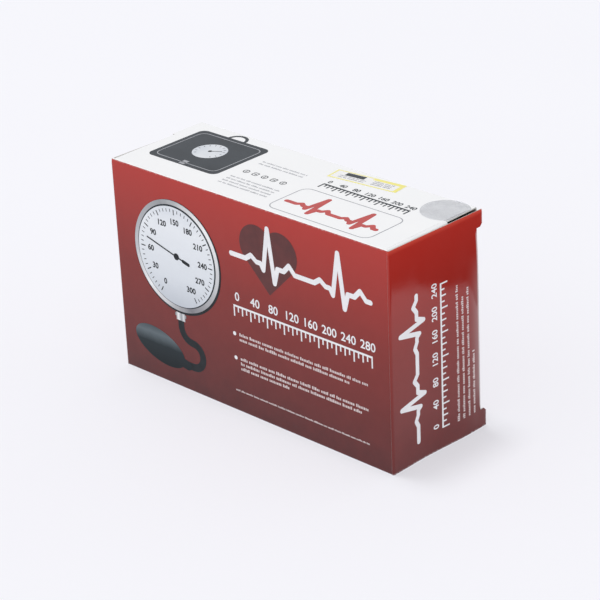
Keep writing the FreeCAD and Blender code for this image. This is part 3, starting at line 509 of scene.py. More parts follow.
def cut_rows(piece, axis, places):
    """Cut a sheet across at places along an axis, without removing anything."""
    shape(piece)
    normal = Vector(float(axis == letter) for letter in "xyz")
    for place in places:
        take_all()
        bpy.ops.mesh.bisect(plane_co=normal * place * MM, plane_no=normal)
    rest()


def push(piece, test, step):
    """Move the vertices that pass a test."""
    shape(piece, "VERT")
    pick(piece, test, "VERT")
    bpy.ops.transform.translate(value=Vector(step) * MM)
    rest()


def round_corners(piece, test, radius, segments):
    """Round the corner vertices of a sheet that pass a test."""
    shape(piece, "VERT")
    pick(piece, test, "VERT")
    bpy.ops.mesh.bevel(offset=radius * MM, segments=segments, affect="VERTICES")
    rest()


def near(place, target, slack=0.02):
    return abs(place - target) < slack


def make_board(piece, outside, body, slot, node):
    """Thicken a sheet to board, with a printed side, a grey back and cut edges, in place of a frame node."""
    dress(piece, [outside, pulp_back, pulp_edge])
    modify(piece, "SOLIDIFY", thickness=BOARD * MM, offset=0.0, use_even_offset=True,
           material_offset=1, material_offset_rim=2)
    smooth(piece)
    return fit(piece, body, slot, node)


def sleeve_board(name, low, high, facing, axis):
    """A flat board whose two long edges, the first and last along an axis, roll halfway round their folds."""
    sheet = flat_sheet(name, low, high, facing)
    number = "xyz".index(axis)
    first, last = low[number], high[number]
    inward = -Vector(facing)
    cut_rows(sheet, axis, [first + HOLD, last - HOLD])
    for edge, way in ((last, 1), (first, -1)):
        outward = [way * float(axis == letter) for letter in "xyz"]
        roll(sheet, lambda at: near(at[number], edge), arc_steps(outward, inward, FOLD, 45))
    return sheet


def make_sleeve():
    """Front, back, top and bottom boards. Neighbours meet halfway round each long fold."""
    long_end = right_high.x - HALF - END_FOLD - SLIT
    low, high = CARTON_LOW.z + HALF + FOLD, CARTON_HIGH.z - HALF - FOLD
    for side, way in (("front", -1), ("back", 1)):
        y = (front_low.y + HALF) if way < 0 else (back_high.y - HALF)
        sheet = sleeve_board(side + "_board", (-long_end, y, low), (long_end, y, high), (0, way, 0), "z")
        red = red_board(side + " red board", (-FAR, -FAR, CARTON_LOW.z), (FAR, FAR, CARTON_HIGH.z))
        make_board(sheet, red, "carton", "red_board", side + "_panel")
    short_end = right_high.x - HALF - BOARD - FLAP_FOLD - SLIT
    near_edge, far_edge = CARTON_LOW.y + HALF + FOLD, CARTON_HIGH.y - HALF - FOLD
    for side, way in (("top", 1), ("bottom", -1)):
        z = (CARTON_HIGH.z - HALF) if way > 0 else (CARTON_LOW.z + HALF)
        sheet = sleeve_board(side + "_board", (-short_end, near_edge, z), (short_end, far_edge, z),
                             (0, 0, way), "y")
        flap_low = mm_box("right_%s_dust_flap" % side)[0]
        cut_rows(sheet, "y", [flap_low.y, RELIEF_FROM])
        for end in (-1, 1):
            roll(sheet, lambda at: near(at.x, end * short_end) and not flap_low.y < at.y < RELIEF_FROM,
                 [(end * FLAP_FOLD, 0, 0)])
        make_board(sheet, coated, "carton", "white_board", side + "_panel")


EAR_CHAMFER = 1.6
STAND_OFF = 1.0
STAND_OFF_LOW = 1.1
STAND_OFF_FROM, STAND_OFF_RUN = -14, 40
STAND_OFF_HEAD = 30
ROOT_CURL = 0.5
CURL_FROM, CURL_RUN = 26, 6
FLARE = 0.2
FLARE_DEPTH = 7
FLARE_FROM, FLARE_RUN = -2, 14
END_ROWS = [EAR, 25, 40, 55, 70, 80, 85, 90, 95, 100, 105]
HEAD_ROWS = [CARTON.z - EAR, 112.5, 115, 116, 117, 118]
END_COLUMNS = [-14, -10, -6, -2, 2, 6, 10, 14, 18, 22, 24, 26, 28, 29.5]
TONGUE_SLIT = 0.4
TONGUE_GAP = 0.08
TONGUE_ROOT = 0.1
TONGUE_FOLD = 0.5
TONGUE_TURN = 101
TONGUE_LENGTHS = (3, 5, 5.4)
TONGUE_REACH = 13.3
TONGUE_CORNER = 4.9
TONGUE_ROWS = [25, 40, 55, 70, 85, 97]
FLAP_GAP = 0.3
FLAP_CORNER = 2.2
FLAP_MITRE = 0.6


def ease(share):
    """0 to 1, slow at both ends."""
    share = min(max(share, 0.0), 1.0)
    return share * share * (3 - 2 * share)


def closure_head(y):
    """The height of an end panel's top edge, which sinks a little towards its rear."""
    return right_high.z - HEAD_GAP - TOP_DROP * (y - right_low.y) / CARTON.y


def closure_bulge(y, z):
    """How far an end panel stands out: its rear is pushed out by the tucked tongue, more so below, and curls
    at the tuck fold. Its top edge is curled in, and flares from the top board towards its rear."""
    rear = ease((y - STAND_OFF_FROM) / STAND_OFF_RUN)
    out = rear * (STAND_OFF * ease((CARTON.z - z) / STAND_OFF_HEAD) + STAND_OFF_LOW * ease(1 - z / CARTON.z))
    if EAR < z < CARTON.z - EAR:
        out -= ROOT_CURL * max(0.0, (y - CURL_FROM) / CURL_RUN) ** 2
    depth = closure_head(y) - z
    out += FLARE * ease((y - FLARE_FROM) / FLARE_RUN) * ease(1 - depth / FLARE_DEPTH)
    if depth < LIP_DEPTH:
        out -= LIP * (1 - max(depth, 0.0) / LIP_DEPTH) ** 2
    return out


def bulge_out(piece, way, y=None):
    """Let a piece follow an end panel's bulge, at its own places or all of it as at one y."""
    for point in piece.data.vertices:
        at = point.co.y / MM if y is None else y
        point.co.x += way * closure_bulge(at, point.co.z / MM) * MM


def make_closure(side, way):
    """An end panel with two ears, rolled over its hinge and bowed out, and the tongue that tucks in."""
    low, high = mm_box(side + "_closure_panel")
    x = way * (right_high.x - HALF)
    hinge = low.y + HALF + END_FOLD
    inward = (-way, 0, 0)
    sheet = flat_sheet(side + "_closure_board", (x, hinge, low.z), (x, TUCK_ROOT, high.z), (way, 0, 0))
    cut_rows(sheet, "z", END_ROWS + HEAD_ROWS)
    cut_rows(sheet, "y", [hinge + HOLD] + END_COLUMNS)
    roll(sheet, lambda at: near(at.y, hinge), arc_steps(FORE, inward, END_FOLD, 90))
    halfway = Vector((0, high.y - TUCK_ROOT, 0)) / 2
    roll(sheet, lambda at: near(at.y, TUCK_ROOT) and not EAR < at.z < CARTON.z - EAR, [halfway, halfway])
    round_corners(sheet, lambda at: near(at.y, high.y) and EAR - 1 < at.z < CARTON.z - EAR + 1,
                  EAR_CHAMFER, 1)
    for point in sheet.data.vertices:
        if point.co.z / MM > high.z - 0.05:
            point.co.z = closure_head(point.co.y / MM) * MM
    bulge_out(sheet, way)
    red = red_board(side + " closure red", (-FAR, -FAR, low.z), (FAR, high.y, FAR), True)
    make_board(sheet, red, side + "_closure", "red_board", side + "_closure_panel")

    foot, head = EAR + TONGUE_SLIT, CARTON.z - EAR - TONGUE_SLIT
    start = TUCK_ROOT + TONGUE_GAP
    root = start + TONGUE_ROOT
    tongue = flat_sheet(side + "_tongue_board", (x, start, foot), (x, root, head), (way, 0, 0))
    tilt = math.radians(TONGUE_TURN)
    heading = Vector((math.sin(tilt) * -way, math.cos(tilt), 0))
    steps = arc_steps(BACK, inward, TONGUE_FOLD, TONGUE_TURN, 6)
    roll(tongue, lambda at: near(at.y, root), steps + [heading * length for length in TONGUE_LENGTHS])
    tip = way * (abs(x) - TONGUE_REACH)
    round_corners(tongue, lambda at: way * (at.x - tip) < 0.6 and (near(at.z, foot) or near(at.z, head)),
                  TONGUE_CORNER, 6)
    cut_rows(tongue, "z", TONGUE_ROWS)
    bulge_out(tongue, way, TUCK_ROOT)
    make_board(tongue, red, side + "_tongue", "plain_board", side + "_tuck_tongue")


def make_dust_flap(side, way, end, up):
    """A dust flap rolled over the fold from the top or bottom board. Its front corner is cut away, and so is
    the rear of its root."""
    node = "%s_%s_dust_flap" % (side, end)
    low, high = mm_box(node)
    x = way * (right_high.x - BOARD - FLAP_GAP - HALF)
    fold = (high.z - HALF - FLAP_FOLD) if up > 0 else (low.z + HALF + FLAP_FOLD)
    tip = low.z if up > 0 else high.z
    foot, head = sorted((fold, tip))
    sheet = flat_sheet(node + "_board", (x, low.y, foot), (x, high.y, head), (way, 0, 0))
    shape(sheet)
    take_all()
    root = Vector((x, low.y, fold))
    normal = Vector((0, (tip - fold) * up, -FLAP_MITRE * abs(tip - fold) * up))
    bpy.ops.mesh.bisect(plane_co=root * MM, plane_no=normal, clear_outer=True)
    rest()
    round_corners(sheet, lambda at: near(at.z, tip), FLAP_CORNER, 4)
    cut_rows(sheet, "y", [RELIEF_FROM])
    cut_rows(sheet, "z", [fold - up * HOLD, fold - up * RELIEF_DEPTH])
    shape(sheet, "FACE")
    pick(sheet, lambda at: at.y > RELIEF_FROM and up * (fold - at.z) < RELIEF_DEPTH, "FACE")
    bpy.ops.mesh.delete(type="FACE")
    rest()
    roll(sheet, lambda at: near(at.z, fold), arc_steps((0, 0, up), (-way, 0, 0), FLAP_FOLD, 90))
    make_board(sheet, coated, "%s_%s_dust" % (side, end), "plain_board", node)


make_sleeve()
for side, way in SIDES:
    make_closure(side, way)
    make_dust_flap(side, way, "top", 1)
    make_dust_flap(side, way, "bottom", -1)


# Inks.

def ink(name, first, second, scale=140.0, gloss=GLOSS):
    """Ink on coated board: two near tones, mottled, under the same varnish as the board."""
    made, tree, surface = finish_of(name, Specular_IOR_Level=gloss)
    grain = use(tree, board_grain, Mottle_Scale=scale)
    feed(surface, Base_Color=mix(tree, mottled(tree, grain["Mottle"]), first, second))
    varnish(tree, surface, grain)
    return made


def drawn_ink(name, share_in, stops, blur, gloss=GLOSS):
    """Ink that runs through tones: share_in gives each point's share of the run in the ink's own tree."""
    made, tree, surface = finish_of(name, Specular_IOR_Level=gloss)
    grain = use(tree, board_grain)
    share = calc(tree, "ADD", share_in(tree), mottled(tree, grain["Mottle"], -blur, blur))
    feed(surface, Base_Color=ramp(tree, share, stops))
    varnish(tree, surface, grain)
    return made


def picture_ink(name, axis, low, high, stops, gloss=GLOSS):
    """Ink that runs through tones along one axis of the carton, from low to high in millimetres."""
    return drawn_ink(name, lambda tree: reach(tree, axes(tree)[axis], low, high), stops, 0.02, gloss)


def turned_ink(name, centre, stops):
    """Ink drawn like turned metal: tones that go round a centre on the front board."""
    def share_in(tree):
        away = axes(tree, between(tree, "SUBTRACT", object_point(tree), Vector(centre) * MM))
        return spread(tree, calc(tree, "ARCTAN2", away["Z"], away["X"]), -math.pi, math.pi)
    return drawn_ink(name, share_in, stops, 0.015)


white_ink = ink("white ink", (0.86, 0.86, 0.88), (0.79, 0.79, 0.82))
deep_ink = ink("deep maroon ink", (0.085, 0.016, 0.016), (0.115, 0.021, 0.02))
fine_ink = ink("fine print ink", (0.76, 0.66, 0.66), (0.68, 0.58, 0.58))
slate_ink = ink("slate ink", (0.011, 0.018, 0.023), (0.024, 0.034, 0.042), 60.0, DARK_GLOSS)
black_ink = ink("black ink", (0.010, 0.013, 0.016), (0.022, 0.026, 0.031), gloss=DARK_GLOSS)
grey_ink = ink("grey ink", (0.33, 0.34, 0.37), (0.43, 0.44, 0.47))
red_ink = ink("red ink", (0.56, 0.035, 0.025), (0.47, 0.028, 0.02))
yellow_ink = ink("yellow ink", (0.92, 0.85, 0.24), (0.89, 0.81, 0.19))
pale_ink = ink("pale blue ink", (0.62, 0.66, 0.72), (0.74, 0.77, 0.81), 70.0)

# Printed motifs are drawn flat in a face's own frame, across and up from its corner or middle, and then laid
# on it. FILM is a layer's thickness, and LAP the share of a layer by which overlaps within it lie apart.
FILM = 0.035
LAP = 0.1
END_SIDES, DOT_SIDES, LOBE_SIDES, RING_SIDES = 16, 20, 64, 96


def face(corner, across, up, body="carton", slot="red_board"):
    """A face to print on: its place, its body and its slot."""
    across, up = Vector(across), Vector(up)
    turn = Matrix((across, up, across.cross(up))).transposed().to_4x4()
    return Matrix.Translation(Vector(corner) * MM) @ turn, body, slot


def dial_front():
    """The gauge's dial, from its middle."""
    low, high = mm_box("dial")
    middle = (low + high) / 2
    return face((high.x, middle.y, middle.z), BACK, UP, slot="dial_face")


def label_front():
    """The paper label on the top board, from its middle and turned as the label is."""
    low, high = mm_box("price_label")
    corners = [point.co.xy for point in nodes["price_label"].data.vertices]
    right = max(corners, key=lambda corner: corner.x)
    first = min(corners, key=lambda corner: corner.y)
    last = max(corners, key=lambda corner: corner.y)
    run = max((right - first, last - right), key=lambda side: side.length)
    turn = math.atan(run.y / run.x)
    middle = (low + high) / 2
    across, up = (math.cos(turn), math.sin(turn), 0), (-math.sin(turn), math.cos(turn), 0)
    return face((middle.x, middle.y, high.z), across, up, slot="label_paper")


FACES = {
    "front": face(CARTON_LOW, (1, 0, 0), UP),
    "back": face((CARTON_HIGH.x, CARTON_HIGH.y, CARTON_LOW.z), (-1, 0, 0), UP),
    "top": face((CARTON_LOW.x, CARTON_LOW.y, CARTON_HIGH.z), (1, 0, 0), BACK, slot="white_board"),
    "bottom": face((CARTON_LOW.x, CARTON_HIGH.y, CARTON_LOW.z), (1, 0, 0), FORE, slot="white_board"),
    "right": face((CARTON_HIGH.x, CARTON_HIGH.y, CARTON_LOW.z), UP, FORE, "right_closure"),
    "left": face(CARTON_LOW, UP, BACK, "left_closure"),
    "dial": dial_front(),
    "label": label_front(),
}


def begin(name):
    """Start a piece: an empty mesh, in edit mode."""
    rest()
    piece = bpy.data.objects.new(name, bpy.data.meshes.new(name))
    bpy.context.scene.collection.objects.link(piece)
    shape(piece)
    return piece


def lay(piece, on, finish):
    """Lay a printed piece on one of the faces."""
    place, body, slot = FACES[on]
    rest()
    piece.matrix_world = place
    settle(piece)
    dress(piece, [finish])
    return fit(piece, body, slot)


@contextlib.contextmanager
def printed(name, on, finish):
    """A printed piece that is drawn in the block below, and laid on a face when the block ends."""
    piece = begin(name)
    yield
    lay(piece, on, finish)


def level(layer):
    """The middle height of a printed layer."""
    return (layer + 0.5) * FILM


def block(middle, size, turn=(0, 0, 0)):
    """A block by its middle and its size."""
    place = [length * MM for length in middle]
    bpy.ops.mesh.primitive_cube_add(size=MM, location=place, rotation=turn, scale=size)


def bar(left, foot, right, head, layer=0, degrees=0.0):
    """A printed rectangle, turned about its own middle."""
    block(((left + right) / 2, (foot + head) / 2, level(layer)), (right - left, head - foot, FILM),
          (0, 0, math.radians(degrees)))


def polar(u, v, radius, degrees):
    """The point at a radius and an angle from a middle."""
    turn = math.radians(degrees)
    return u + radius * math.cos(turn), v + radius * math.sin(turn)


def tick(u, v, degrees, radius, length, half, layer):
    """A dial's mark: a bar that points at the dial's middle, and whose own middle lies at a radius."""
    across, up = polar(u, v, radius, degrees)
    bar(across - length / 2, up - half, across + length / 2, up + half, layer, degrees)


def disc(u, v, radius, layer=0, squash=1.0, degrees=0.0, sides=48):
    """A printed disc or ellipse."""
    bpy.ops.mesh.primitive_cylinder_add(
        vertices=sides, radius=MM, depth=FILM * MM, location=(u * MM, v * MM, level(layer) * MM),
        rotation=(0, 0, math.radians(degrees)), scale=(radius, radius * squash, 1))


SHORTEST = 0.01
CURVE_LAP = 0.08


def line(points, width, layer=0, curve=False):
    """A line with round ends, and round joints unless it is a curve. Overlaps lie a hair apart."""
    points = [Vector(point) for point in points]
    pairs = zip(points, points[1:])
    points = points[:1] + [after for before, after in pairs if (after - before).length > SHORTEST]
    for number, (first, second) in enumerate(zip(points, points[1:])):
        run = second - first
        middle = (first + second) / 2
        half = run.length / 2 + (width * CURVE_LAP if curve else 0)
        bar(middle.x - half, middle.y - width / 2, middle.x + half, middle.y + width / 2,
            layer + LAP * (number % 2), math.degrees(math.atan2(run.y, run.x)))
    for number, point in enumerate((points[0], points[-1]) if curve else points):
        disc(point.x, point.y, width / 2, layer + LAP * (2 + number % 2), sides=END_SIDES)


def arc(u, v, radius, start, end, count):
    """Points on an arc, with angles in degrees."""
    return [polar(u, v, radius, start + (end - start) * number / count) for number in range(count + 1)]


def ring(u, v, radius, count, width, layer=0):
    """A printed circle line."""
    line(arc(u, v, radius, 0, 360, count), width, layer, True)


def rounded_frame(left, foot, right, head, radius):
    """The closed outline of a rectangle with round corners."""
    left, foot, right, head = left + radius, foot + radius, right - radius, head - radius
    corners = ((right, head), (left, head), (left, foot), (right, foot))
    points = []
    for number, (u, v) in enumerate(corners):
        points += arc(u, v, radius, 90 * number, 90 * number + 90, 6)
    return points + points[:1]


def box_line(left, foot, right, head, radius, width, layer=0):
    """A printed rectangle line with round corners."""
    line(rounded_frame(left, foot, right, head, radius), width, layer, True)


# A heartbeat as (share of its length, share of its rise). Fine print: letters to a word, and a letter's
# width, height and gaps as shares of the row's height. A scale's ticks as shares of the tallest, in turn.
BEAT = [(0.0, 0.0), (0.22, 0.0), (0.30, 0.13), (0.38, 0.0), (0.44, 0.0), (0.48, -0.16),
        (0.56, 1.0), (0.64, -0.42), (0.69, 0.0), (0.78, 0.0), (0.86, 0.2), (0.94, 0.0)]
WORD = (3, 9)
LETTER_WIDE = (0.32, 0.54)
LETTER_HIGH = (0.72, 0.72, 0.78, 1.0)
LETTER_GAP, WORD_GAP = 0.22, 0.5
TICK_SHARES = (1, 0.5, 0.74, 0.5)
SCALE_LINE = 1.3
SCALE_BOLD = 0.09
NUMERAL_STEPS = 4
NUMERAL_MERGE = 0.001

# Tables by face. A pulse line: left, right, base, rise, beats and line width. A pressure scale: left, right,
# base, steps, and a tick's height and width. Its numbers: left, right, middle height, size and values.
PULSES = {"front": (86, 179, 90, 20, 2, 2.7), "end": (11, 90, 47, 12, 2, 2.5),
          "top": (112, 170, 15, 13, 2, 2.8), "back": (12, 179, 97, 14, 4, 2.2)}
SCALES = {"front": (86, 179, 60.5, 32, 5.4, 0.85), "end": (12, 90, 29, 24, 4.2, 0.8),
          "top": (112, 168, 41.4, 24, 4.2, 0.9), "back": (14, 177, 72, 64, 4.6, 0.8)}
NUMBERS = {"front": (88.5, 176.5, 66.2, 6.6, range(0, 281, 40)), "end": (14, 88, 34, 5.2, range(0, 241, 40)),
           "top": (113, 166, 45.3, 4.4, range(0, 241, 40)), "back": (17, 174, 78.5, 6.2, range(0, 301, 25))}

# Fine print by face: a seed, and rows of (left, right, base, height).
BACK_COLUMNS = (14, 71, 128)
BOTTOM_COLUMNS = ((12, 66), (74, 128), (136, 179))
FINE_PRINT = {
    "front": (11, [(88.6, right, base, 1.7) for right, base in (
        (176, 44.4), (164, 41.6), (177, 30.6), (173, 27.8), (124, 25.0))] + [(84, 176, 12, 1.0)]),
    "end": (21, [(11, right, base, 1.6) for right, base in ((86, 17.5), (78, 13.6), (82, 9.7), (46, 5.8))]),
    "top": (31, [(67, 98, base, 1.3) for base in (44, 41)]
            + [(67, 101, base, 1.3) for base in (20.6, 17.6, 14.6, 11.6)]),
    "label": (41, [(-16, 0, base, 1.1) for base in (-1.0, -2.8)]
              + [(4, 16, base, 1.3) for base in (0.9, -0.9, -2.7)]),
    "back": (51, [(left + 4, left + (48 if row < 6 else 26), 58 - 3.6 * row, 1.7)
                  for left in BACK_COLUMNS for row in range(7)]
             + [(BACK_COLUMNS[2], 176, base, 1.5) for base in (24, 20.6, 17.2, 13.8)]),
    "bottom": (61, [(left + 5, right - (5 if row % 4 else 14), 49 - 4 * row, 1.5)
                    for left, right in BOTTOM_COLUMNS for row in range(9)]),
}


def pulse_line(table, layer=0):
    """A heartbeat line."""
    left, right, base, rise, beats, width = PULSES[table]
    span = (right - left) / beats
    points = [(left + (number + u) * span, base + v * rise) for number in range(beats) for u, v in BEAT]
    line(points + [(right, base)], width, layer)


def text_row(rng, left, right, base, height, layer):
    """A row of small marks, spaced like the letters and words of fine print."""
    at = left
    while at < right:
        for _ in range(rng.randint(*WORD)):
            wide = height * rng.uniform(*LETTER_WIDE)
            if at + wide > right:
                break
            bar(at, base, at + wide, base + height * rng.choice(LETTER_HIGH), layer)
            at += wide + height * LETTER_GAP
        at += height * WORD_GAP


def text_block(name, table, layer=0):
    """One piece of several rows of fine print."""
    seed, rows = FINE_PRINT[table]
    rng = random.Random(seed)
    made = []
    for row in rows:
        made.append(begin(name))
        text_row(rng, *row, layer)
    return join(name, made)


def scale_row(table, layer=0):
    """A row of scale ticks under a base line: tall ones, every fourth, and short ones between."""
    left, right, base, steps, tall, width = SCALES[table]
    step = (right - left) / steps
    for number in range(steps + 1):
        u = left + (right - left) * number / steps
        bar(u - width / 2, base - tall * TICK_SHARES[number % 4], u + width / 2, base, layer)
        if number < steps:
            bar(u - width / 2, base, u + step + width / 2, base + width * SCALE_LINE,
                layer + LAP * (number % 2))


def numeral(body, u, v, size, layer, bold):
    """A plain number as a thin mesh."""
    rest()
    bpy.ops.object.text_add(location=(u * MM, v * MM, level(layer) * MM))
    text = bpy.context.object.data
    text.body = body
    text.size = size * MM
    text.align_x = "CENTER"
    text.align_y = "CENTER"
    text.extrude = FILM / 2 * MM
    text.offset = bold * MM
    text.resolution_u = NUMERAL_STEPS
    bpy.ops.object.convert(target="MESH")
    piece = settle(bpy.context.object)
    shape(piece)
    close_up(NUMERAL_MERGE)
    return piece


def join(name, pieces):
    """Join pieces to one."""
    hold(pieces[0])
    for piece in pieces:
        piece.select_set(True)
    bpy.ops.object.join()
    return added(name)


def scale_numbers(name, table, layer=0):
    """Numbers spaced evenly along a row."""
    left, right, v, size, values = NUMBERS[table]
    step = (right - left) / (len(values) - 1)
    return join(name, [numeral(str(value), left + step * number, v, size, layer, SCALE_BOLD)
                       for number, value in enumerate(values)])


def dial_numbers(name, u, v, radius, values, size, layer, bold):
    """Numbers round a dial, each of them (number, angle in degrees)."""
    return join(name, [numeral(str(value), *polar(u, v, radius, degrees), size, layer, bold)
                       for value, degrees in values])


# The front's gauge, with its hose and bulb. Heights of stem, collar and hose are below the gauge's middle,
# and runs of the pointer are along it from there. A tick: length and half width. A ring: name, shift across,
# shift up, and how much wider than the gauge it is.
GAUGE_AT = (45.5, 76.5)
GAUGE_R = 31.0
GAUGE_START = 240
GAUGE_SWEEP = 300
GAUGE_TICKS = 50
GAUGE_RINGS = (("shade", 0.5, -0.5, 0.7), ("rim", 0, 0, 0), ("well", 0, 0, -2.5), ("face", -0.3, -0.3, -3.2))
LONG_TICK, SHORT_TICK = (3.0, 0.3), (1.7, 0.2)
TICK_INSET = 4.8
GAUGE_NUMBERS = [(30 * number, GAUGE_START - 30 * number) for number in range(11)]
NUMBERS_R, NUMBERS_SIZE, NUMBERS_BOLD = 19, 4.4, 0.13
POINTER_TURN = 165
POINTER_RUN, POINTER_WIDE = (-7, 12, 22), 0.8
WEIGHT_RUN, WEIGHT_WIDE = (-9, -5), 1.9
HUB_R = 1.9
STEM_HALF, STEM_FOOT, STEM_HEAD = 3.2, 36.5, GAUGE_R - 1
COLLAR_HALF, COLLAR_FOOT, COLLAR_HEAD = 4.2, 34.4, 32.6
HOSE_WIDE, HOSE_HEAD = 4.4, 34
HOSE_BEND, HOSE_BEND_AT, HOSE_LOOP = 8, 37, 7
SQUEEZER_AT, SQUEEZER_R, SQUEEZER_SQUASH, SQUEEZER_TILT = (28, 20), 19, 0.5, -14
SQUEEZER_NECK, SQUEEZER_NECK_WIDE = [(43.5, 15.6), (48.5, 14.6)], 5.6
SQUEEZER_SHADED = (8, 33)
LAYERS = {"hose": 0, "stem": 0.6, "bulb": 0.8, "shade": 1.6, "rim": 2.6, "well": 3.6, "face": 4.6,
          "ticks": 5.6, "pointer": 6.6, "weight": 7.2, "hub": 7.4}
SILVER_TONES = [(0.0, (0.52, 0.53, 0.56)), (0.13, (0.85, 0.86, 0.88)), (0.3, (0.2, 0.2, 0.22)),
                (0.45, (0.55, 0.56, 0.58)), (0.62, (0.88, 0.89, 0.9)), (0.8, (0.3, 0.31, 0.33)),
                (1.0, (0.52, 0.53, 0.56))]
CHROME_TONES = [(0.0, (0.1, 0.1, 0.11)), (0.3, (0.85, 0.86, 0.88)), (0.55, (0.3, 0.31, 0.33)),
                (0.75, (0.7, 0.71, 0.73)), (1.0, (0.12, 0.12, 0.13))]
FACE_TONES = [(0.0, (0.5, 0.54, 0.6)), (0.3, (0.7, 0.74, 0.79)), (0.75, (0.8, 0.83, 0.87)),
              (1.0, (0.66, 0.7, 0.76))]
BULB_TONES = [(0.0, (0.006, 0.010, 0.013)), (0.5, (0.018, 0.027, 0.033)), (0.74, (0.12, 0.15, 0.17)),
              (1.0, (0.025, 0.033, 0.04))]


def make_gauge_print():
    """The printed gauge: hose, bulb, stem, rings, ticks, pointer and numbers."""
    u, v = GAUGE_AT
    x, z = CARTON_LOW.x + u, CARTON_LOW.z + v
    silver = turned_ink("silver picture ink", (x, CARTON_LOW.y, z), SILVER_TONES)
    chrome = picture_ink("chrome picture ink", "X", x - COLLAR_HALF, x + COLLAR_HALF, CHROME_TONES)
    pale = picture_ink("dial picture ink", "Z", z - GAUGE_R, z + GAUGE_R, FACE_TONES)
    dark = picture_ink("bulb picture ink", "Z", *SQUEEZER_SHADED, BULB_TONES, DARK_GLOSS)
    with printed("front_print_hose", "front", black_ink):
        aside, loop_at = u + HOSE_BEND, HOSE_BEND_AT - HOSE_BEND - HOSE_LOOP
        bends = arc(aside, HOSE_BEND_AT, HOSE_BEND, 180, 270, 8) + arc(aside, loop_at, HOSE_LOOP, 90, -90, 12)
        ends = [(u, v - HOSE_HEAD), (u, HOSE_BEND_AT)], [(u, loop_at - HOSE_LOOP)]
        line(ends[0] + bends + ends[1], HOSE_WIDE, LAYERS["hose"], True)
    with printed("front_print_bulb", "front", dark):
        disc(*SQUEEZER_AT, SQUEEZER_R, LAYERS["bulb"], SQUEEZER_SQUASH, SQUEEZER_TILT)
        line(SQUEEZER_NECK, SQUEEZER_NECK_WIDE, LAYERS["bulb"] + LAP)
    with printed("front_print_stem", "front", chrome):
        bar(u - STEM_HALF, v - STEM_FOOT, u + STEM_HALF, v - STEM_HEAD, LAYERS["stem"])
        bar(u - COLLAR_HALF, v - COLLAR_FOOT, u + COLLAR_HALF, v - COLLAR_HEAD, LAYERS["stem"] + LAP)
    for (name, aside, above, wider), tone in zip(GAUGE_RINGS, (black_ink, silver, slate_ink, pale)):
        with printed("front_print_gauge_" + name, "front", tone):
            disc(u + aside, v + above, GAUGE_R + wider, LAYERS[name], sides=RING_SIDES)
    with printed("front_print_gauge_marks", "front", black_ink):
        for number in range(GAUGE_TICKS + 1):
            length, half = LONG_TICK if number % 5 == 0 else SHORT_TICK
            degrees = GAUGE_START - GAUGE_SWEEP * number / GAUGE_TICKS
            tick(u, v, degrees, GAUGE_R - TICK_INSET - length / 2, length, half, LAYERS["ticks"])
        line([polar(u, v, run, POINTER_TURN) for run in POINTER_RUN], POINTER_WIDE, LAYERS["pointer"])
        line([polar(u, v, run, POINTER_TURN) for run in WEIGHT_RUN], WEIGHT_WIDE, LAYERS["weight"])
        disc(u, v, HUB_R, LAYERS["hub"])
    numbers = dial_numbers("front_print_gauge_numbers", u, v, NUMBERS_R, GAUGE_NUMBERS, NUMBERS_SIZE,
                           LAYERS["ticks"], NUMBERS_BOLD)
    lay(numbers, "front", black_ink)


HEART_AT = 112
HEART_FOOT = 74
HEART_SIDE = 23
FRONT_DOTS, FRONT_DOT_R = ((85.2, 45.0), (85.2, 31.2)), 1.1


def make_front_print():
    """A heart, a pulse line, a pressure scale and fine print, at the front's right."""
    half = HEART_SIDE / 2
    lobe = half / math.sqrt(2)
    middle = HEART_FOOT + HEART_SIDE / math.sqrt(2)
    with printed("front_print_heart", "front", deep_ink):
        bar(HEART_AT - half, middle - half, HEART_AT + half, middle + half, 0, 45)
        for way in (-1, 1):
            disc(HEART_AT + way * lobe, middle + lobe, half, LAP * (2 + way), sides=LOBE_SIDES)
    with printed("front_print_white", "front", white_ink):
        pulse_line("front", 1)
        scale_row("front", 1)
        for u, v in FRONT_DOTS:
            disc(u, v, FRONT_DOT_R, 1, sides=DOT_SIDES)
    lay(text_block("front_print_fine", "front", 1), "front", fine_ink)
    lay(scale_numbers("front_print_scale_numbers", "front", 1), "front", white_ink)


def make_end_print(side, way):
    """A pulse line, a pressure scale and fine print that read up the end."""
    white = begin(side + "_print_white")
    pulse_line("end")
    scale_row("end")
    fine = text_block(side + "_print_fine", "end")
    numbers = scale_numbers(side + "_print_scale_numbers", "end")
    for piece, tone in ((white, white_ink), (fine, fine_ink), (numbers, white_ink)):
        lay(piece, side, tone)
        cut_rows(piece, "y", END_COLUMNS)
        cut_rows(piece, "z", END_ROWS)
        bulge_out(piece, way)


# The top's case, with its handle, seam, zip pull and dial, and a row of symbols beside it.
CASE_PRINT = (10, 16, 60, 58)
CASE_ROUND = 4
HANDLE_AT, HANDLE_R, HANDLE_WIDE = 57.6, 5.6, 1.8
SEAM_INSET = 3
FINE_LINE, FRAME_LINE = 0.5, 0.6
PULL_HALF, PULL_FOOT, PULL_HEAD = 1.8, 17, 21.5
CASE_DIAL_AT, CASE_DIAL_R = (35, 38), 9.5
CASE_DIAL_START, CASE_DIAL_SWEEP = 225, 270
CASE_TICKS, CASE_TICK_R, CASE_TICK = 12, 7.8, (1.4, 0.15)
CASE_POINTER, CASE_HUB_R = (5.4, 3.2), 1.1
SYMBOL_AT, SYMBOL_PITCH = (69.5, 30), 6.4
SYMBOL_R, SYMBOL_HALF, SYMBOL_ROUND = 1.7, 1.6, 0.6
SYMBOL_BARS = ((0.3, 1), (0.8, 0.4))
TOP_FRAME = (108, 4, 174, 33, 5)


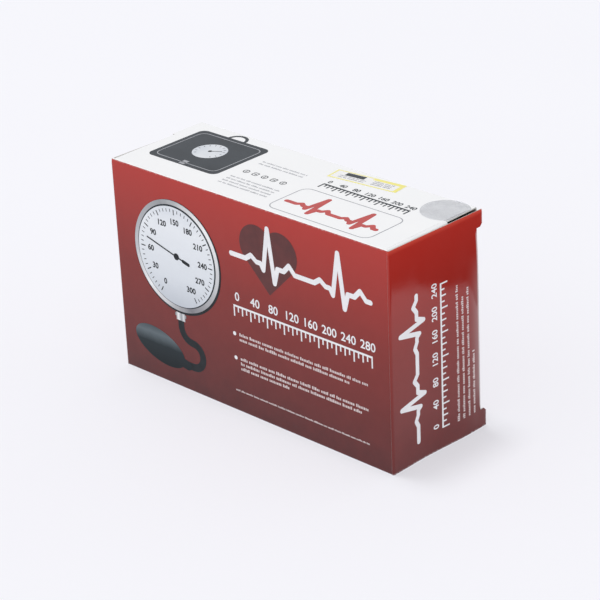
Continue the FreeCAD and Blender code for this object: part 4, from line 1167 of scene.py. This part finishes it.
def make_case_print():
    """A dark case with a handle and a dial."""
    u, v = CASE_DIAL_AT
    left, foot, right, head = CASE_PRINT
    with printed("top_print_case", "top", slate_ink):
        bar(left + CASE_ROUND, foot, right - CASE_ROUND, head)
        bar(left, foot + CASE_ROUND, right, head - CASE_ROUND, LAP)
        for across in (left + CASE_ROUND, right - CASE_ROUND):
            for up in (foot + CASE_ROUND, head - CASE_ROUND):
                disc(across, up, CASE_ROUND, 2 * LAP)
        line(arc(u, HANDLE_AT, HANDLE_R, 0, 180, 12), HANDLE_WIDE, 3 * LAP, True)
    with printed("top_print_case_seam", "top", grey_ink):
        box_line(left + SEAM_INSET, foot + SEAM_INSET, right - SEAM_INSET, head - SEAM_INSET, CASE_ROUND,
                 FINE_LINE, 1)
        bar(u - PULL_HALF, PULL_FOOT, u + PULL_HALF, PULL_HEAD, 1)
    with printed("top_print_case_dial", "top", pale_ink):
        disc(u, v, CASE_DIAL_R, 1)
    with printed("top_print_case_marks", "top", black_ink):
        for number in range(CASE_TICKS + 1):
            tick(u, v, CASE_DIAL_START - CASE_DIAL_SWEEP * number / CASE_TICKS, CASE_TICK_R, *CASE_TICK, 2)
        line([(u, v), (u + CASE_POINTER[0], v + CASE_POINTER[1])], FRAME_LINE, 2)
        disc(u, v, CASE_HUB_R, 2, sides=DOT_SIDES)


def make_top_print():
    """The case at the left, small symbols, and a framed pulse line at the right."""
    make_case_print()
    with printed("top_print_dark", "top", slate_ink):
        for number in range(5):
            u, v = SYMBOL_AT[0] + SYMBOL_PITCH * number, SYMBOL_AT[1]
            across, up = SYMBOL_BARS[number % 2]
            if number % 2 == 0:
                ring(u, v, SYMBOL_R, 12, FINE_LINE)
            else:
                box_line(u - SYMBOL_HALF, v - SYMBOL_HALF, u + SYMBOL_HALF, v + SYMBOL_HALF, SYMBOL_ROUND,
                         FINE_LINE)
            bar(u - across, v - up, u + across, v + up)
        scale_row("top")
    lay(scale_numbers("top_print_scale_numbers", "top"), "top", slate_ink)
    with printed("top_print_frame", "top", grey_ink):
        box_line(*TOP_FRAME, FRAME_LINE)
    lay(text_block("top_print_fine", "top"), "top", grey_ink)
    with printed("top_print_pulse", "top", red_ink):
        pulse_line("top")


# The back's signs: rings with a heartbeat, a drop, a clock, a case and lines of text.
BACK_DOT_AT, BACK_DOT_R = 58.8, 1.2
SIGN_AT, SIGN_PITCH = (22, 18), 18
SIGN_R, SIGN_LINE, INNER_LINE = 7, 0.8, 0.7
SIGN_BEAT, SIGN_BEAT_WIDE = ((-3.5, 0), (-1.5, 0), (0, 4), (1.5, -3), (2.5, 0), (4, 0)), 0.9
DROP_R, DROP_SQUASH, DROP_TILT = 4.4, 0.62, 20
CLOCK_R, CLOCK_HAND = 4, (2.2, 2)
SIGN_CASE_HALF, SIGN_CASE_FOOT, SIGN_CASE_HEAD, SIGN_CASE_ROUND = 3.8, -3, 2.6, 1
SIGN_HANDLE_AT, SIGN_HANDLE_R = 2.8, 1.8
TEXT_HALF, TEXT_STEPS, TEXT_WIDE = 2.8, (-2, 0, 2), 1.0


def make_back_print():
    """A long pulse line, a pressure scale, three columns of print and a row of signs."""
    start, v = SIGN_AT
    heart, drop, clock, case, text = [start + SIGN_PITCH * number for number in range(5)]
    with printed("back_print_white", "back", white_ink):
        pulse_line("back")
        scale_row("back")
        for left in BACK_COLUMNS:
            disc(left + BACK_DOT_R, BACK_DOT_AT, BACK_DOT_R, sides=DOT_SIDES)
        for u in (heart, drop, clock, case, text):
            ring(u, v, SIGN_R, 32, SIGN_LINE)
        line([(heart + across, v + up) for across, up in SIGN_BEAT], SIGN_BEAT_WIDE, 2)
        disc(drop, v, DROP_R, 2, DROP_SQUASH, DROP_TILT)
        ring(clock, v, CLOCK_R, 20, INNER_LINE, 2)
        line([(clock, v), (clock + CLOCK_HAND[0], v + CLOCK_HAND[1])], INNER_LINE, 2.6)
        box_line(case - SIGN_CASE_HALF, v + SIGN_CASE_FOOT, case + SIGN_CASE_HALF, v + SIGN_CASE_HEAD,
                 SIGN_CASE_ROUND, SIGN_LINE, 2)
        line(arc(case, v + SIGN_HANDLE_AT, SIGN_HANDLE_R, 0, 180, 8), INNER_LINE, 2, True)
        for step in TEXT_STEPS:
            line([(text - TEXT_HALF, v + step), (text + TEXT_HALF, v + step)], TEXT_WIDE, 2)
    lay(text_block("back_print_fine", "back"), "back", fine_ink)
    lay(scale_numbers("back_print_scale_numbers", "back"), "back", white_ink)


BOTTOM_FOOT, BOTTOM_HEAD, BOTTOM_ROUND = 10, 56, 4


def make_bottom_print():
    """Grey frames and rows of fine print."""
    with printed("bottom_print_frames", "bottom", grey_ink):
        for left, right in BOTTOM_COLUMNS:
            box_line(left, BOTTOM_FOOT, right, BOTTOM_HEAD, BOTTOM_ROUND, FRAME_LINE)
    lay(text_block("bottom_print_fine", "bottom"), "bottom", grey_ink)


make_gauge_print()
make_front_print()
make_top_print()
make_back_print()
make_bottom_print()
for side, way in SIDES:
    make_end_print(side, way)


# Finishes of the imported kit.

def metal(name, first, second, low, high, scale, stretch=(1.0, 1.0, 1.0)):
    """Metal whose tone and polish vary: scale and stretch set the size and the run of the marks."""
    made, tree, surface = finish_of(name, Metallic=1.0)
    point = add(tree, "Mapping", {"Vector": object_point(tree), "Scale": stretch}).outputs[0]
    mark = noise(tree, point, scale, 5.0, 0.65)
    smear = noise(tree, object_point(tree), 70.0, 3.0)
    polish = times(tree, calc(tree, "ADD", mark, smear), 0.5)
    feed(surface, Base_Color=mix(tree, smear, first, second), Roughness=mottled(tree, polish, low, high),
         Normal=bump(tree, mark, 0.01, 0.25))
    return made


def rubber():
    """Matt black latex with a dusty bloom."""
    made, tree, surface = finish_of("black latex rubber")
    grain = use(tree, board_grain, Fibre_Scale=1700.0, Mottle_Scale=45.0)
    bloom = spread(tree, grain["Mottle"], 0.42, 0.72)
    feed(surface, Base_Color=mix(tree, bloom, (0.016, 0.016, 0.018), (0.046, 0.045, 0.045)),
         Roughness=mottled(tree, grain["Mottle"], 0.42, 0.62), Normal=bump(tree, grain["Fibre"], 0.04, 0.5))
    return made


def make_weave():
    """Plain weave on Object coordinates: across the roll and along the cloth's run."""
    tree, given, out = effect("plain weave", ["Height", "Tone"], Thread=0.7 * MM)
    at = axes(tree)
    turn = calc(tree, "DIVIDE", math.pi, given["Thread"])
    warp = calc(tree, "SINE", times(tree, at["X"], turn))
    weft = calc(tree, "SINE", times(tree, calc(tree, "ADD", at["Y"], at["Z"]), turn))
    crossing = times(tree, warp, weft)
    cloudy = noise(tree, object_point(tree), 60.0, 3.0)
    tone = times(tree, calc(tree, "ADD", calc(tree, "ABSOLUTE", crossing), cloudy), 0.5)
    feed(out, Height=spread(tree, crossing, -1.0, 1.0), Tone=tone)
    return tree


weave = make_weave()


def nylon(name, dark, light, thread):
    """Woven nylon: thread is its pitch in millimetres."""
    made, tree, surface = finish_of(name, Roughness=0.62, Sheen_Weight=0.25, Sheen_Roughness=0.4)
    cloth = use(tree, weave, Thread=thread * MM)
    feed(surface, Base_Color=mix(tree, cloth["Tone"], dark, light),
         Normal=bump(tree, cloth["Height"], 0.12, 0.7))
    return made


def vinyl():
    """Grained vinyl: pebbles of a cell pattern, shinier on their crowns."""
    made, tree, surface = finish_of("black grained vinyl")
    cells = add(tree, "TexVoronoi", {"Vector": object_point(tree), "Scale": 800.0, "Randomness": 0.9})
    pebble = spread(tree, cells.outputs["Distance"], 0.0, 0.7, 1.0, 0.0)
    feed(surface, Base_Color=mix(tree, pebble, (0.012, 0.012, 0.014), (0.03, 0.031, 0.035)),
         Roughness=spread(tree, pebble, 0.0, 1.0, 0.6, 0.36), Normal=bump(tree, pebble, 0.15, 0.6))
    return made


def paint(name, first, second, rough):
    return coat(name, first, second, rough, 0.02, 0.3, Fibre_Scale=1100.0)


def clear(name, tint, low, high, rough):
    """Clear film or glass: mostly see-through, with haze and fine marks."""
    made, tree, surface = finish_of(name, Base_Color=(*tint, 1))
    haze = noise(tree, object_point(tree), 160.0, 4.0, 0.6)
    feed(surface, Alpha=mottled(tree, haze, low, high), Normal=bump(tree, haze, 0.1, 0.2),
         Roughness=mottled(tree, haze, rough * 0.6, rough * 1.4))
    return made


latex = rubber()
cuff_cloth = nylon("blue woven nylon", (0.012, 0.03, 0.12), (0.03, 0.075, 0.26), 0.55)
zip_cloth = nylon("black zip tape", (0.008, 0.008, 0.01), (0.03, 0.03, 0.034), 0.4)
thread = nylon("blue sewing thread", (0.03, 0.06, 0.2), (0.07, 0.13, 0.36), 0.3)
case_skin = vinyl()
nickel = metal("nickel plated brass", (0.62, 0.58, 0.5), (0.5, 0.46, 0.39), 0.22, 0.36, 900.0)
sheet_paper = coat("matt white paper", (0.91, 0.91, 0.92), (0.86, 0.86, 0.87), 0.55, 0.03, 0.4,
                   Fibre_Scale=1900.0, Mottle_Scale=80.0)
plating = metal("polished plating", (0.82, 0.83, 0.84), (0.74, 0.75, 0.77), 0.06, 0.15, 500.0)
steel = metal("turned steel", (0.58, 0.58, 0.59), (0.48, 0.48, 0.5), 0.24, 0.4, 1400.0, (0.2, 1.0, 1.0))
brass = metal("stamped brass", (0.75, 0.53, 0.2), (0.62, 0.42, 0.15), 0.22, 0.42, 1100.0, (1.0, 0.3, 1.0))
FINISHES = {
    "red_board": coated, "white_board": coated, "plain_board": coated, "label_paper": sheet_paper,
    "clear_film": clear("clear film", (0.66, 0.68, 0.73), 0.2, 0.3, 0.12),
    "blue_nylon": cuff_cloth, "black_rubber": latex, "case_vinyl": case_skin, "zip_metal": nickel,
    "chrome": plating, "steel": steel, "brass": brass,
    "dial_face": paint("dial paint", (0.82, 0.84, 0.87), (0.77, 0.8, 0.84), 0.5),
    "pointer_black": paint("black paint", (0.012, 0.012, 0.013), (0.024, 0.024, 0.026), 0.4),
    "crystal": clear("clear crystal", (0.9, 0.94, 0.95), 0.07, 0.11, 0.04),
}
for part in frame["record"]["subparts"]:
    dress(nodes[part["node"]], [FINISHES[part["material_slot"]]])


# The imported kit: cuff, bladder, case, zip, leaflet, bulb and dial marks.
CUFF_LAYER = 4.8
CUFF_LAYERS = 8
CUFF_CORNER = 14
CUFF_SLACK = 0.6
CUFF_FIRST_DROP = 2
CUFF_LAST_DROP = 9
CUFF_END_TURN = 62
CUFF_COLUMNS = (0.05, 0.2, 0.35, 0.5, 0.65, 0.8, 0.95)
CUFF_UNEVEN = 0.3
CUFF_EDGE = 1.9
STITCH = (0.55, 1.9, 0.5)
STITCH_PITCH = 3
STITCH_ROWS = (4, 6.5)


def straight(way, length, count=3):
    """Steps along a straight run."""
    return [Vector(way) * (length / count)] * count


def make_cuff():
    """The padded cuff: a strip folded back and forth round its bladder, and wrapped once round the folds."""
    low, high = mm_box("folded_cuff")
    half = CUFF_LAYER / 2
    pitch = (high.y - low.y - CUFF_LAYER) / CUFF_LAYERS
    tight = pitch / 2
    head = high.z - CUFF_LAYER - CUFF_SLACK - tight - half
    foot = low.z + CUFF_LAYER + CUFF_SLACK + tight + half
    wide_foot = foot + tight
    last_head = head - CUFF_LAST_DROP
    y = low.y + half + pitch
    corner = CUFF_CORNER - half
    flat = high.y - low.y - 2 * CUFF_CORNER
    tall = high.z - low.z - 2 * CUFF_CORNER
    over, under = (arc_steps(way, BACK, tight, 180, 8) for way in (UP, DOWN))
    folds = (under + straight(UP, head - foot) + over + straight(DOWN, head - wide_foot)
             + arc_steps(DOWN, BACK, pitch, 180, 10) + straight(UP, head - wide_foot) + over
             + straight(DOWN, head - foot) + under + straight(UP, last_head - foot) + over
             + straight(DOWN, last_head - low.z - CUFF_CORNER))
    wrap = (arc_steps(DOWN, FORE, corner, 90, 6) + straight(FORE, flat) + arc_steps(FORE, UP, corner, 90, 6)
            + straight(UP, tall, 4) + arc_steps(UP, BACK, corner, 90, 6) + straight(BACK, flat, 4)
            + arc_steps(BACK, DOWN, corner, CUFF_END_TURN, 4))
    strip = flat_sheet("cuff_cloth", (low.x, y, foot), (high.x, y, head - CUFF_FIRST_DROP), FORE)
    roll(strip, lambda at: near(at.z, foot), folds + wrap)
    cut_rows(strip, "x", [low.x + (high.x - low.x) * share for share in CUFF_COLUMNS])
    shape(strip, "VERT")
    take_all()
    bpy.ops.transform.vertex_random(offset=CUFF_UNEVEN * MM, uniform=1.0, normal=0.0, seed=5)
    rest()
    modify(strip, "SOLIDIFY", thickness=CUFF_LAYER * MM, offset=0.0, use_even_offset=True)
    modify(strip, "BEVEL", width=CUFF_EDGE * MM, segments=3, limit_method="ANGLE",
           angle_limit=math.radians(65))
    round_out(strip, 70)
    stow(strip, cuff_cloth, "blue_nylon", "folded_cuff")

    stitches = begin("cuff_stitches")
    place = Vector((0, y, foot)) + sum(folds, Vector())
    columns = [low.x + inset for inset in STITCH_ROWS] + [high.x - inset for inset in reversed(STITCH_ROWS)]
    for step in wrap:
        turn = math.atan2(step.z, step.y)
        outward = Vector((0, math.sin(turn), -math.cos(turn))) * half
        count = max(1, round(step.length / STITCH_PITCH))
        for number in range(count):
            at = place + step * ((number + 0.5) / count) + outward
            for x in columns:
                block((x, at.y, at.z), STITCH, (turn, 0, 0))
        place = place + step
    rest()
    stow(stitches, thread, "blue_nylon")


def pad_box(name, low, high, edge):
    """A block with rounded edges."""
    low, high = Vector(low), Vector(high)
    rest()
    block((low + high) / 2, (1, 1, 1))
    piece = added(name)
    piece.scale = high - low
    settle(piece)
    shape(piece)
    take_all()
    soften(edge, 3)
    rest()
    return piece


def lathe(name, stations, y, z, sides):
    """A round form along X, drawn out from station to station of (x, radius)."""
    rest()
    x, radius = stations[0]
    bpy.ops.mesh.primitive_circle_add(vertices=sides, radius=radius * MM, fill_type="NGON",
                                      location=(x * MM, y * MM, z * MM), rotation=(0, math.pi / 2, 0))
    piece = settle(added(name))
    shape(piece, "FACE")
    take_all()
    for (x_before, before), (x_after, after) in zip(stations, stations[1:]):
        bpy.ops.mesh.extrude_region_move(TRANSFORM_OT_translate={"value": ((x_after - x_before) * MM, 0, 0)})
        bpy.ops.transform.resize(value=(1, after / before, after / before),
                                 center_override=(x_after * MM, y * MM, z * MM))
    bpy.ops.mesh.select_mode(type="EDGE")
    pick(piece, lambda at: near(at.x, stations[0][0], 0.001))
    bpy.ops.mesh.edge_face_add()
    close_up()
    return piece


BAG_HALF = 2.2
BAG_FOOT = 3
BAG_EDGE = 2.0
STUB_FLARE = 3.4
STUB_R = 2.15
STUB_RIM = 1.8
STUB_SUNK = 2


def stub(name, start, tip, y, z):
    """A moulded stub along X: a flared foot, a tube and a softened rim."""
    stations = [(start, STUB_FLARE), (start + 3, STUB_FLARE), (start + 5, STUB_R), (tip - 0.6, STUB_R),
                (tip, STUB_RIM)]
    return smooth(lathe(name, stations, y, z, 24))


def make_bladder():
    """The flat rubber bag in the cuff's pocket, with a stub at its end and one at its top."""
    low, high = mm_box("bladder")
    cuff_low, cuff_high = mm_box("folded_cuff")
    tube_low, tube_high = mm_box("gauge_tube")
    bulb_low, bulb_high = mm_box("bulb_tube")
    hem = low.x - cuff_low.x
    y = (tube_low.y + tube_high.y) / 2
    z = (tube_low.z + tube_high.z) / 2
    right, top = cuff_high.x - hem, cuff_high.z - hem
    bag = pad_box("bladder_bag", (low.x, y - BAG_HALF, low.z + BAG_FOOT), (right, y + BAG_HALF, top),
                  BAG_EDGE)
    round_out(bag, 60)
    end = stub("bladder_end_stub", right - STUB_SUNK, high.x, y, z)
    x = bulb_high.x - (bulb_high.y - bulb_low.y) / 2
    rise = stub("bladder_top_stub", 0, high.z - top + STUB_SUNK, 0, 0)
    place = Vector((x, y, top - STUB_SUNK)) * MM
    rise.matrix_world = Matrix.Translation(place) @ Matrix.Rotation(-math.pi / 2, 4, "Y")
    settle(rise)
    for piece in (bag, end, rise):
        dress(piece, [latex])
    whole = join("bladder_bag", [bag, end, rise])
    fit(whole, "carton", "black_rubber", "bladder")


CASE_CORNER = 12
CASE_SWELL = 2.2
POUCH_INSET = 1.6
POUCH_FLAT = 4.6
POUCH_GRID = 3.2
PIPING = 0.9
SEAM_WIDTH = 6
SEAM_THICK = 1.4
SWELL_PRESSURE = 4.0
SWELL_STIFF = 20
SWELL_FRAMES = 20


def case_sheet(name, inset):
    """A sheet with round corners in the middle of the zip case, set in from its edge."""
    low, high = mm_box("carry_case")
    y = (low.y + high.y) / 2
    sheet = flat_sheet(name, (low.x + inset, y, low.z + inset), (high.x - inset, y, high.z - inset), FORE)
    round_corners(sheet, lambda at: True, CASE_CORNER - inset, 6)
    return sheet


def make_case():
    """The zip case: a vinyl pouch swollen by cloth simulation, with a flat seam and piping round it."""
    pouch = case_sheet("case_pouch", POUCH_INSET)
    modify(pouch, "SOLIDIFY", thickness=POUCH_FLAT * MM, offset=0.0)
    modify(pouch, "REMESH", mode="VOXEL", voxel_size=POUCH_GRID * MM)
    swell(pouch, CASE_SWELL * MM)
    round_out(pouch, 80)
    stow(pouch, case_skin, "case_vinyl", "carry_case")

    seam = case_sheet("case_seam", PIPING)
    shape(seam, "FACE")
    take_all()
    bpy.ops.mesh.inset(thickness=SEAM_WIDTH * MM)
    bpy.ops.mesh.delete(type="FACE")
    rest()
    modify(seam, "SOLIDIFY", thickness=SEAM_THICK * MM, offset=0.0)
    stow(seam, case_skin, "case_vinyl")

    low, high = mm_box("carry_case")
    loop = rounded_frame(low.x + PIPING, low.z + PIPING, high.x - PIPING, high.z - PIPING,
                         CASE_CORNER - PIPING)
    y = (low.y + high.y) / 2
    piping = ring_tube("case_piping", [(u, y, v) for u, v in loop[:-1]], PIPING)
    stow(piping, case_skin, "case_vinyl")


def swell(piece, cap):
    """Blow a closed skin up by cloth simulation, and hold each point within a cap of where it began."""
    hold(piece)
    scene = bpy.context.scene
    before = [point.co.copy() for point in piece.data.vertices]
    cloth = piece.modifiers.new("cloth", "CLOTH")
    cloth.settings.use_pressure = True
    cloth.settings.uniform_pressure_force = SWELL_PRESSURE
    cloth.settings.tension_stiffness = SWELL_STIFF
    cloth.settings.compression_stiffness = SWELL_STIFF
    cloth.settings.bending_stiffness = 1.0
    cloth.settings.effector_weights.gravity = 0.0
    cloth.point_cache.frame_start = 1
    cloth.point_cache.frame_end = SWELL_FRAMES
    for number in range(1, SWELL_FRAMES + 1):
        scene.frame_set(number)
    bpy.ops.object.modifier_apply(modifier=cloth.name)
    scene.frame_set(1)
    for point, began in zip(piece.data.vertices, before):
        moved = point.co - began
        if moved.length > cap:
            point.co = began + moved * (cap / moved.length)


def ring_tube(name, points, radius):
    """A round tube along a closed loop of points, as a mesh."""
    rest()
    curve = bpy.data.curves.new(name, "CURVE")
    curve.dimensions = "3D"
    curve.bevel_depth = radius * MM
    curve.bevel_resolution = 3
    spline = curve.splines.new("POLY")
    spline.points.add(len(points) - 1)
    for place, point in zip(spline.points, points):
        place.co = (*(Vector(point) * MM), 1)
    spline.use_cyclic_u = True
    piece = bpy.data.objects.new(name, curve)
    bpy.context.scene.collection.objects.link(piece)
    hold(piece)
    bpy.ops.object.convert(target="MESH")
    return smooth(bpy.context.object, 60)


TAPE_WIDE, TAPE_THICK = 2.1, 0.6
TAPE_ASIDE = 1.4
TAPE_EDGE = 0.2
TOOTH = (1.0, 2.3, 1.7)
TOOTH_PITCH = 1.5
TOOTH_ASIDE = 0.55
TOOTH_HIGH = 1.35
TOOTH_EDGE = 0.25
CHAIN_ENDS = 2


def make_zip():
    """The zip's two tapes, and its teeth in turn from one side and the other."""
    low, high = mm_box("zipper_chain")
    x, y = (low.x + high.x) / 2, (low.y + high.y) / 2
    tape = begin("zip_tape")
    for way in (-1, 1):
        block((x, y + way * TAPE_ASIDE, low.z + TAPE_THICK / 2), (high.x - low.x, TAPE_WIDE, TAPE_THICK))
    take_all()
    soften(TAPE_EDGE, 2)
    rest()
    stow(tape, zip_cloth, "zip_metal", "zipper_chain")
    teeth = begin("zip_teeth")
    for number in range(int((high.x - low.x - CHAIN_ENDS) / TOOTH_PITCH)):
        way = 1 if number % 2 else -1
        block((low.x + (number + 1) * TOOTH_PITCH, y + way * TOOTH_ASIDE, low.z + TOOTH_HIGH), TOOTH)
    take_all()
    soften(TOOTH_EDGE, 2)
    rest()
    smooth(teeth)
    stow(teeth, nickel, "zip_metal")


LEAF = 0.22
LEAF_SHORTER = (1, 5)


def make_leaflet():
    """A folded sheet of paper, with its leaves a little apart."""
    low, high = mm_box("leaflet")
    turn = (high.y - low.y - LEAF) / 4
    y = low.y + LEAF / 2
    foot, head = low.z + turn, high.z - turn
    sheet = flat_sheet("folded_leaflet", (low.x, y, foot), (high.x, y, head), FORE)
    second, third = (head - foot - shorter for shorter in LEAF_SHORTER)
    steps = (arc_steps(UP, BACK, turn, 180, 4) + straight(DOWN, second)
             + arc_steps(DOWN, BACK, turn, 180, 4) + straight(UP, third))
    roll(sheet, lambda at: near(at.z, head), steps)
    modify(sheet, "SOLIDIFY", thickness=LEAF * MM, offset=0.0)
    smooth(sheet)
    stow(sheet, sheet_paper, "label_paper", "leaflet")


# The bulb: its tail from the left end and its neck from the right end as (length, radius), and the egg
# between them as (share of length, share of radius).
BULB_TAIL = 5
BULB_NECK = 8
TAIL_FORM = ((0, 6.4), (0.5, 7.0), (4.4, 7.0), (5.3, 8.2))
NECK_FORM = ((-7.2, 8.5), (-6, 8.0), (-1.4, 8.0), (-1, 8.6), (-0.3, 8.6), (0, 8.2))
BULB_EGG = ((0.03, 0.56), (0.09, 0.755), (0.18, 0.9), (0.3, 0.975), (0.45, 1.0), (0.6, 0.985), (0.74, 0.915),
            (0.86, 0.77), (0.94, 0.6), (0.985, 0.46))
FLASH = 0.3


def make_bulb():
    """The rubber bulb: an egg with a tail and a neck, and the fine flash of its mould along two sides."""
    low, high = mm_box("inflation_bulb")
    y, z = (low.y + high.y) / 2, (low.z + high.z) / 2
    radius = (high.z - low.z) / 2
    tail, neck = low.x + BULB_TAIL, high.x - BULB_NECK
    stations = [(low.x + along, size) for along, size in TAIL_FORM]
    stations += [(tail + along * (neck - tail), radius * size) for along, size in BULB_EGG]
    stations += [(high.x + along, size) for along, size in NECK_FORM]
    bulb = lathe("squeeze_bulb", stations, y, z, 48)
    for way in (1, -1):
        push(bulb, lambda at: abs(at.z - z) < 0.2 and way * (at.y - y) > 1, (0, way * FLASH, 0))
    round_out(bulb, 60)
    stow(bulb, latex, "black_rubber", "inflation_bulb")


DIAL_START = -90
DIAL_SWEEP = 320
DIAL_TOP = 300
DIAL_STEP = 4
DIAL_LONG_STEP = 20
DIAL_LONG, DIAL_SHORT, DIAL_TICK_HALF = 2.4, 1.3, 0.11
DIAL_RIM = 2.2
DIAL_LINE = 0.2
DIAL_NUMBER_IN, DIAL_NUMBER_SIZE, DIAL_NUMBER_BOLD = 6.3, 2.3, 0.02


def dial_turn(pressure):
    """A pressure's angle on the dial, in degrees."""
    return DIAL_START - DIAL_SWEEP * pressure / DIAL_TOP


def make_dial_marks():
    """The pressure scale on the gauge's dial: it starts at the foot and runs clockwise."""
    low, high = mm_box("dial")
    radius = (high.z - low.z) / 2
    with printed("dial_scale_marks", "dial", black_ink):
        for pressure in range(0, DIAL_TOP + 1, DIAL_STEP):
            length = DIAL_LONG if pressure % DIAL_LONG_STEP == 0 else DIAL_SHORT
            tick(0, 0, dial_turn(pressure), radius - DIAL_RIM - length / 2, length, DIAL_TICK_HALF, 0)
        rim = arc(0, 0, radius - DIAL_RIM + DIAL_LINE / 2, dial_turn(0), dial_turn(DIAL_TOP), 60)
        line(rim, DIAL_LINE, 1, True)
    values = [(pressure, dial_turn(pressure)) for pressure in range(0, DIAL_TOP + 1, DIAL_LONG_STEP)]
    numbers = dial_numbers("dial_scale_numbers", 0, 0, radius - DIAL_NUMBER_IN, values, DIAL_NUMBER_SIZE, 0,
                           DIAL_NUMBER_BOLD)
    lay(numbers, "dial", black_ink)


make_cuff()
make_bladder()
make_case()
make_zip()
make_leaflet()
make_bulb()
make_dial_marks()

# The paper label's bars: left, foot, right and head from its middle.
LABEL_YELLOW = ((2, 2.7, 20.9, 5.1), (18.6, -5.1, 20.9, 2.6), (-20.9, -5.1, 18.5, -4.2),
                (-20.9, -4.1, -20.0, 5.1), (-19.9, 4.4, 1.9, 5.1))
LABEL_DARK = (-14, 0.5, -2.4, 3.9)


def make_label_print():
    """A yellow edge, a dark block and fine rows."""
    with printed("label_print_yellow", "label", yellow_ink):
        for edges in LABEL_YELLOW:
            bar(*edges)
    with printed("label_print_dark", "label", slate_ink):
        bar(*LABEL_DARK)
    lay(text_block("label_print_fine", "label"), "label", grey_ink)


make_label_print()

# Camera, light and floor. The camera's distance and shifts are millimetres from the carton's middle.
LENS = 131.6
DISTANCE = 1122.5
AZIMUTH = math.radians(44.35)
ELEVATION = math.radians(25.43)
ROLL = math.radians(-2.56)
ASIDE = 3.67
RAISED = -5.1
CLIP_END = 20


def make_camera():
    """A camera at the photo's angle."""
    back = Vector((math.sin(AZIMUTH) * math.cos(ELEVATION), -math.cos(AZIMUTH) * math.cos(ELEVATION),
                   math.sin(ELEVATION)))
    sideways = Vector(UP).cross(back).normalized()
    upward = back.cross(sideways)
    across = sideways * math.cos(ROLL) + upward * math.sin(ROLL)
    up = upward * math.cos(ROLL) - sideways * math.sin(ROLL)
    eye = (CARTON_LOW + CARTON_HIGH) / 2 + back * DISTANCE + across * ASIDE + up * RAISED
    rest()
    bpy.ops.object.camera_add()
    camera = added("studio_camera")
    camera.matrix_world = Matrix.Translation(eye * MM) @ Matrix((across, up, back)).transposed().to_4x4()
    camera.data.lens = LENS
    camera.data.clip_end = CLIP_END
    bpy.context.scene.camera = camera


# The stage's sizes are metres. A lamp: its name, strength, width in degrees and direction.
# A flag: its middle, size and turn in degrees. Flags lie on the floor and show in reflections only.
FLOOR_SIZE = 8
FLOOR_DROP = 0.02 * MM
FLOOR_TONES = ((0.42, 0.42, 0.44), (0.44, 0.44, 0.46))
FLOOR_GLOW = 0.58
PALE = (0.87, 0.87, 0.92)
SKY_LOW = 1.25
SKY_HIGH = 0.284
LAMP_AWAY = 1.5
LAMPS = [("studio_key", 1.10, 12, (-0.19, -0.03, 0.98)), ("studio_fill", 0.27, 60, (-0.45, -0.8, 0.4))]
FLAG_TONE = (0.02, 0.02, 0.02)
FLAG_HIGH = 0.5 * MM
FLAGS = [((0.6085, 0.2653, FLAG_HIGH), (0.8, 1.6, 1), 17), ((0.175, 0.605, FLAG_HIGH), (0.136, 0.89, 1), 0)]


def make_floor():
    """A plain pale floor that keeps the carton's shadow."""
    rest()
    bpy.ops.mesh.primitive_plane_add(size=FLOOR_SIZE, location=(0, 0, -FLOOR_DROP))
    floor = added("studio_floor")
    made, tree, surface = finish_of("studio floor", Roughness=0.75, Specular_IOR_Level=0.0,
                                    Emission_Color=(*PALE, 1), Emission_Strength=FLOOR_GLOW)
    feed(surface, Base_Color=mix(tree, noise(tree, object_point(tree), 3.0, 1.0), *FLOOR_TONES))
    dress(floor, [made])


def make_flags():
    """Dark flags on the floor, for the varnish to mirror."""
    dark = finish_of("studio flag", Base_Color=(*FLAG_TONE, 1), Roughness=1.0)[0]
    for place, size, turn in FLAGS:
        rest()
        bpy.ops.mesh.primitive_plane_add(size=1, location=place)
        flag = added("studio_flag")
        flag.scale = size
        flag.rotation_euler.z = math.radians(turn)
        settle(flag)
        dress(flag, [dark])
        for unseen in ("visible_camera", "visible_diffuse", "visible_shadow", "visible_transmission"):
            setattr(flag, unseen, False)


def make_light():
    """Two lamps, and a sky that is brighter at its foot and plain pale where it is seen."""
    for name, energy, width, direction in LAMPS:
        rest()
        bpy.ops.object.light_add(type="SUN", location=Vector(direction) * LAMP_AWAY)
        lamp = added(name)
        lamp.data.energy = energy
        lamp.data.angle = math.radians(width)
        lamp.rotation_mode = "QUATERNION"
        lamp.rotation_quaternion = Vector(direction).to_track_quat("Z", "Y")
    world = bpy.data.worlds.new("studio world")
    bpy.context.scene.world = world
    world.use_nodes = True
    tree = world.node_tree
    glow = tree.nodes["Background"]
    glow.inputs["Color"].default_value = (1, 1, 1, 1)
    height = axes(tree, add(tree, "TexCoord").outputs["Generated"])["Z"]
    feed(glow.inputs, Strength=spread(tree, height, 0.0, 1.0, SKY_LOW, SKY_HIGH))
    shown = add(tree, "Background", {"Color": (*PALE, 1), "Strength": 1.0})
    path = add(tree, "LightPath").outputs
    mirrored = calc(tree, "MAXIMUM", path["Is Glossy Ray"], path["Is Transmission Ray"])
    seen = calc(tree, "MAXIMUM", path["Is Camera Ray"], mirrored)
    both = add(tree, "MixShader", {0: seen, 1: glow.outputs[0], 2: shown.outputs[0]})
    feed(tree.nodes["World Output"].inputs, Surface=both.outputs[0])
    bpy.context.scene.view_settings.view_transform = "Standard"


make_camera()
make_floor()
make_flags()
make_light()
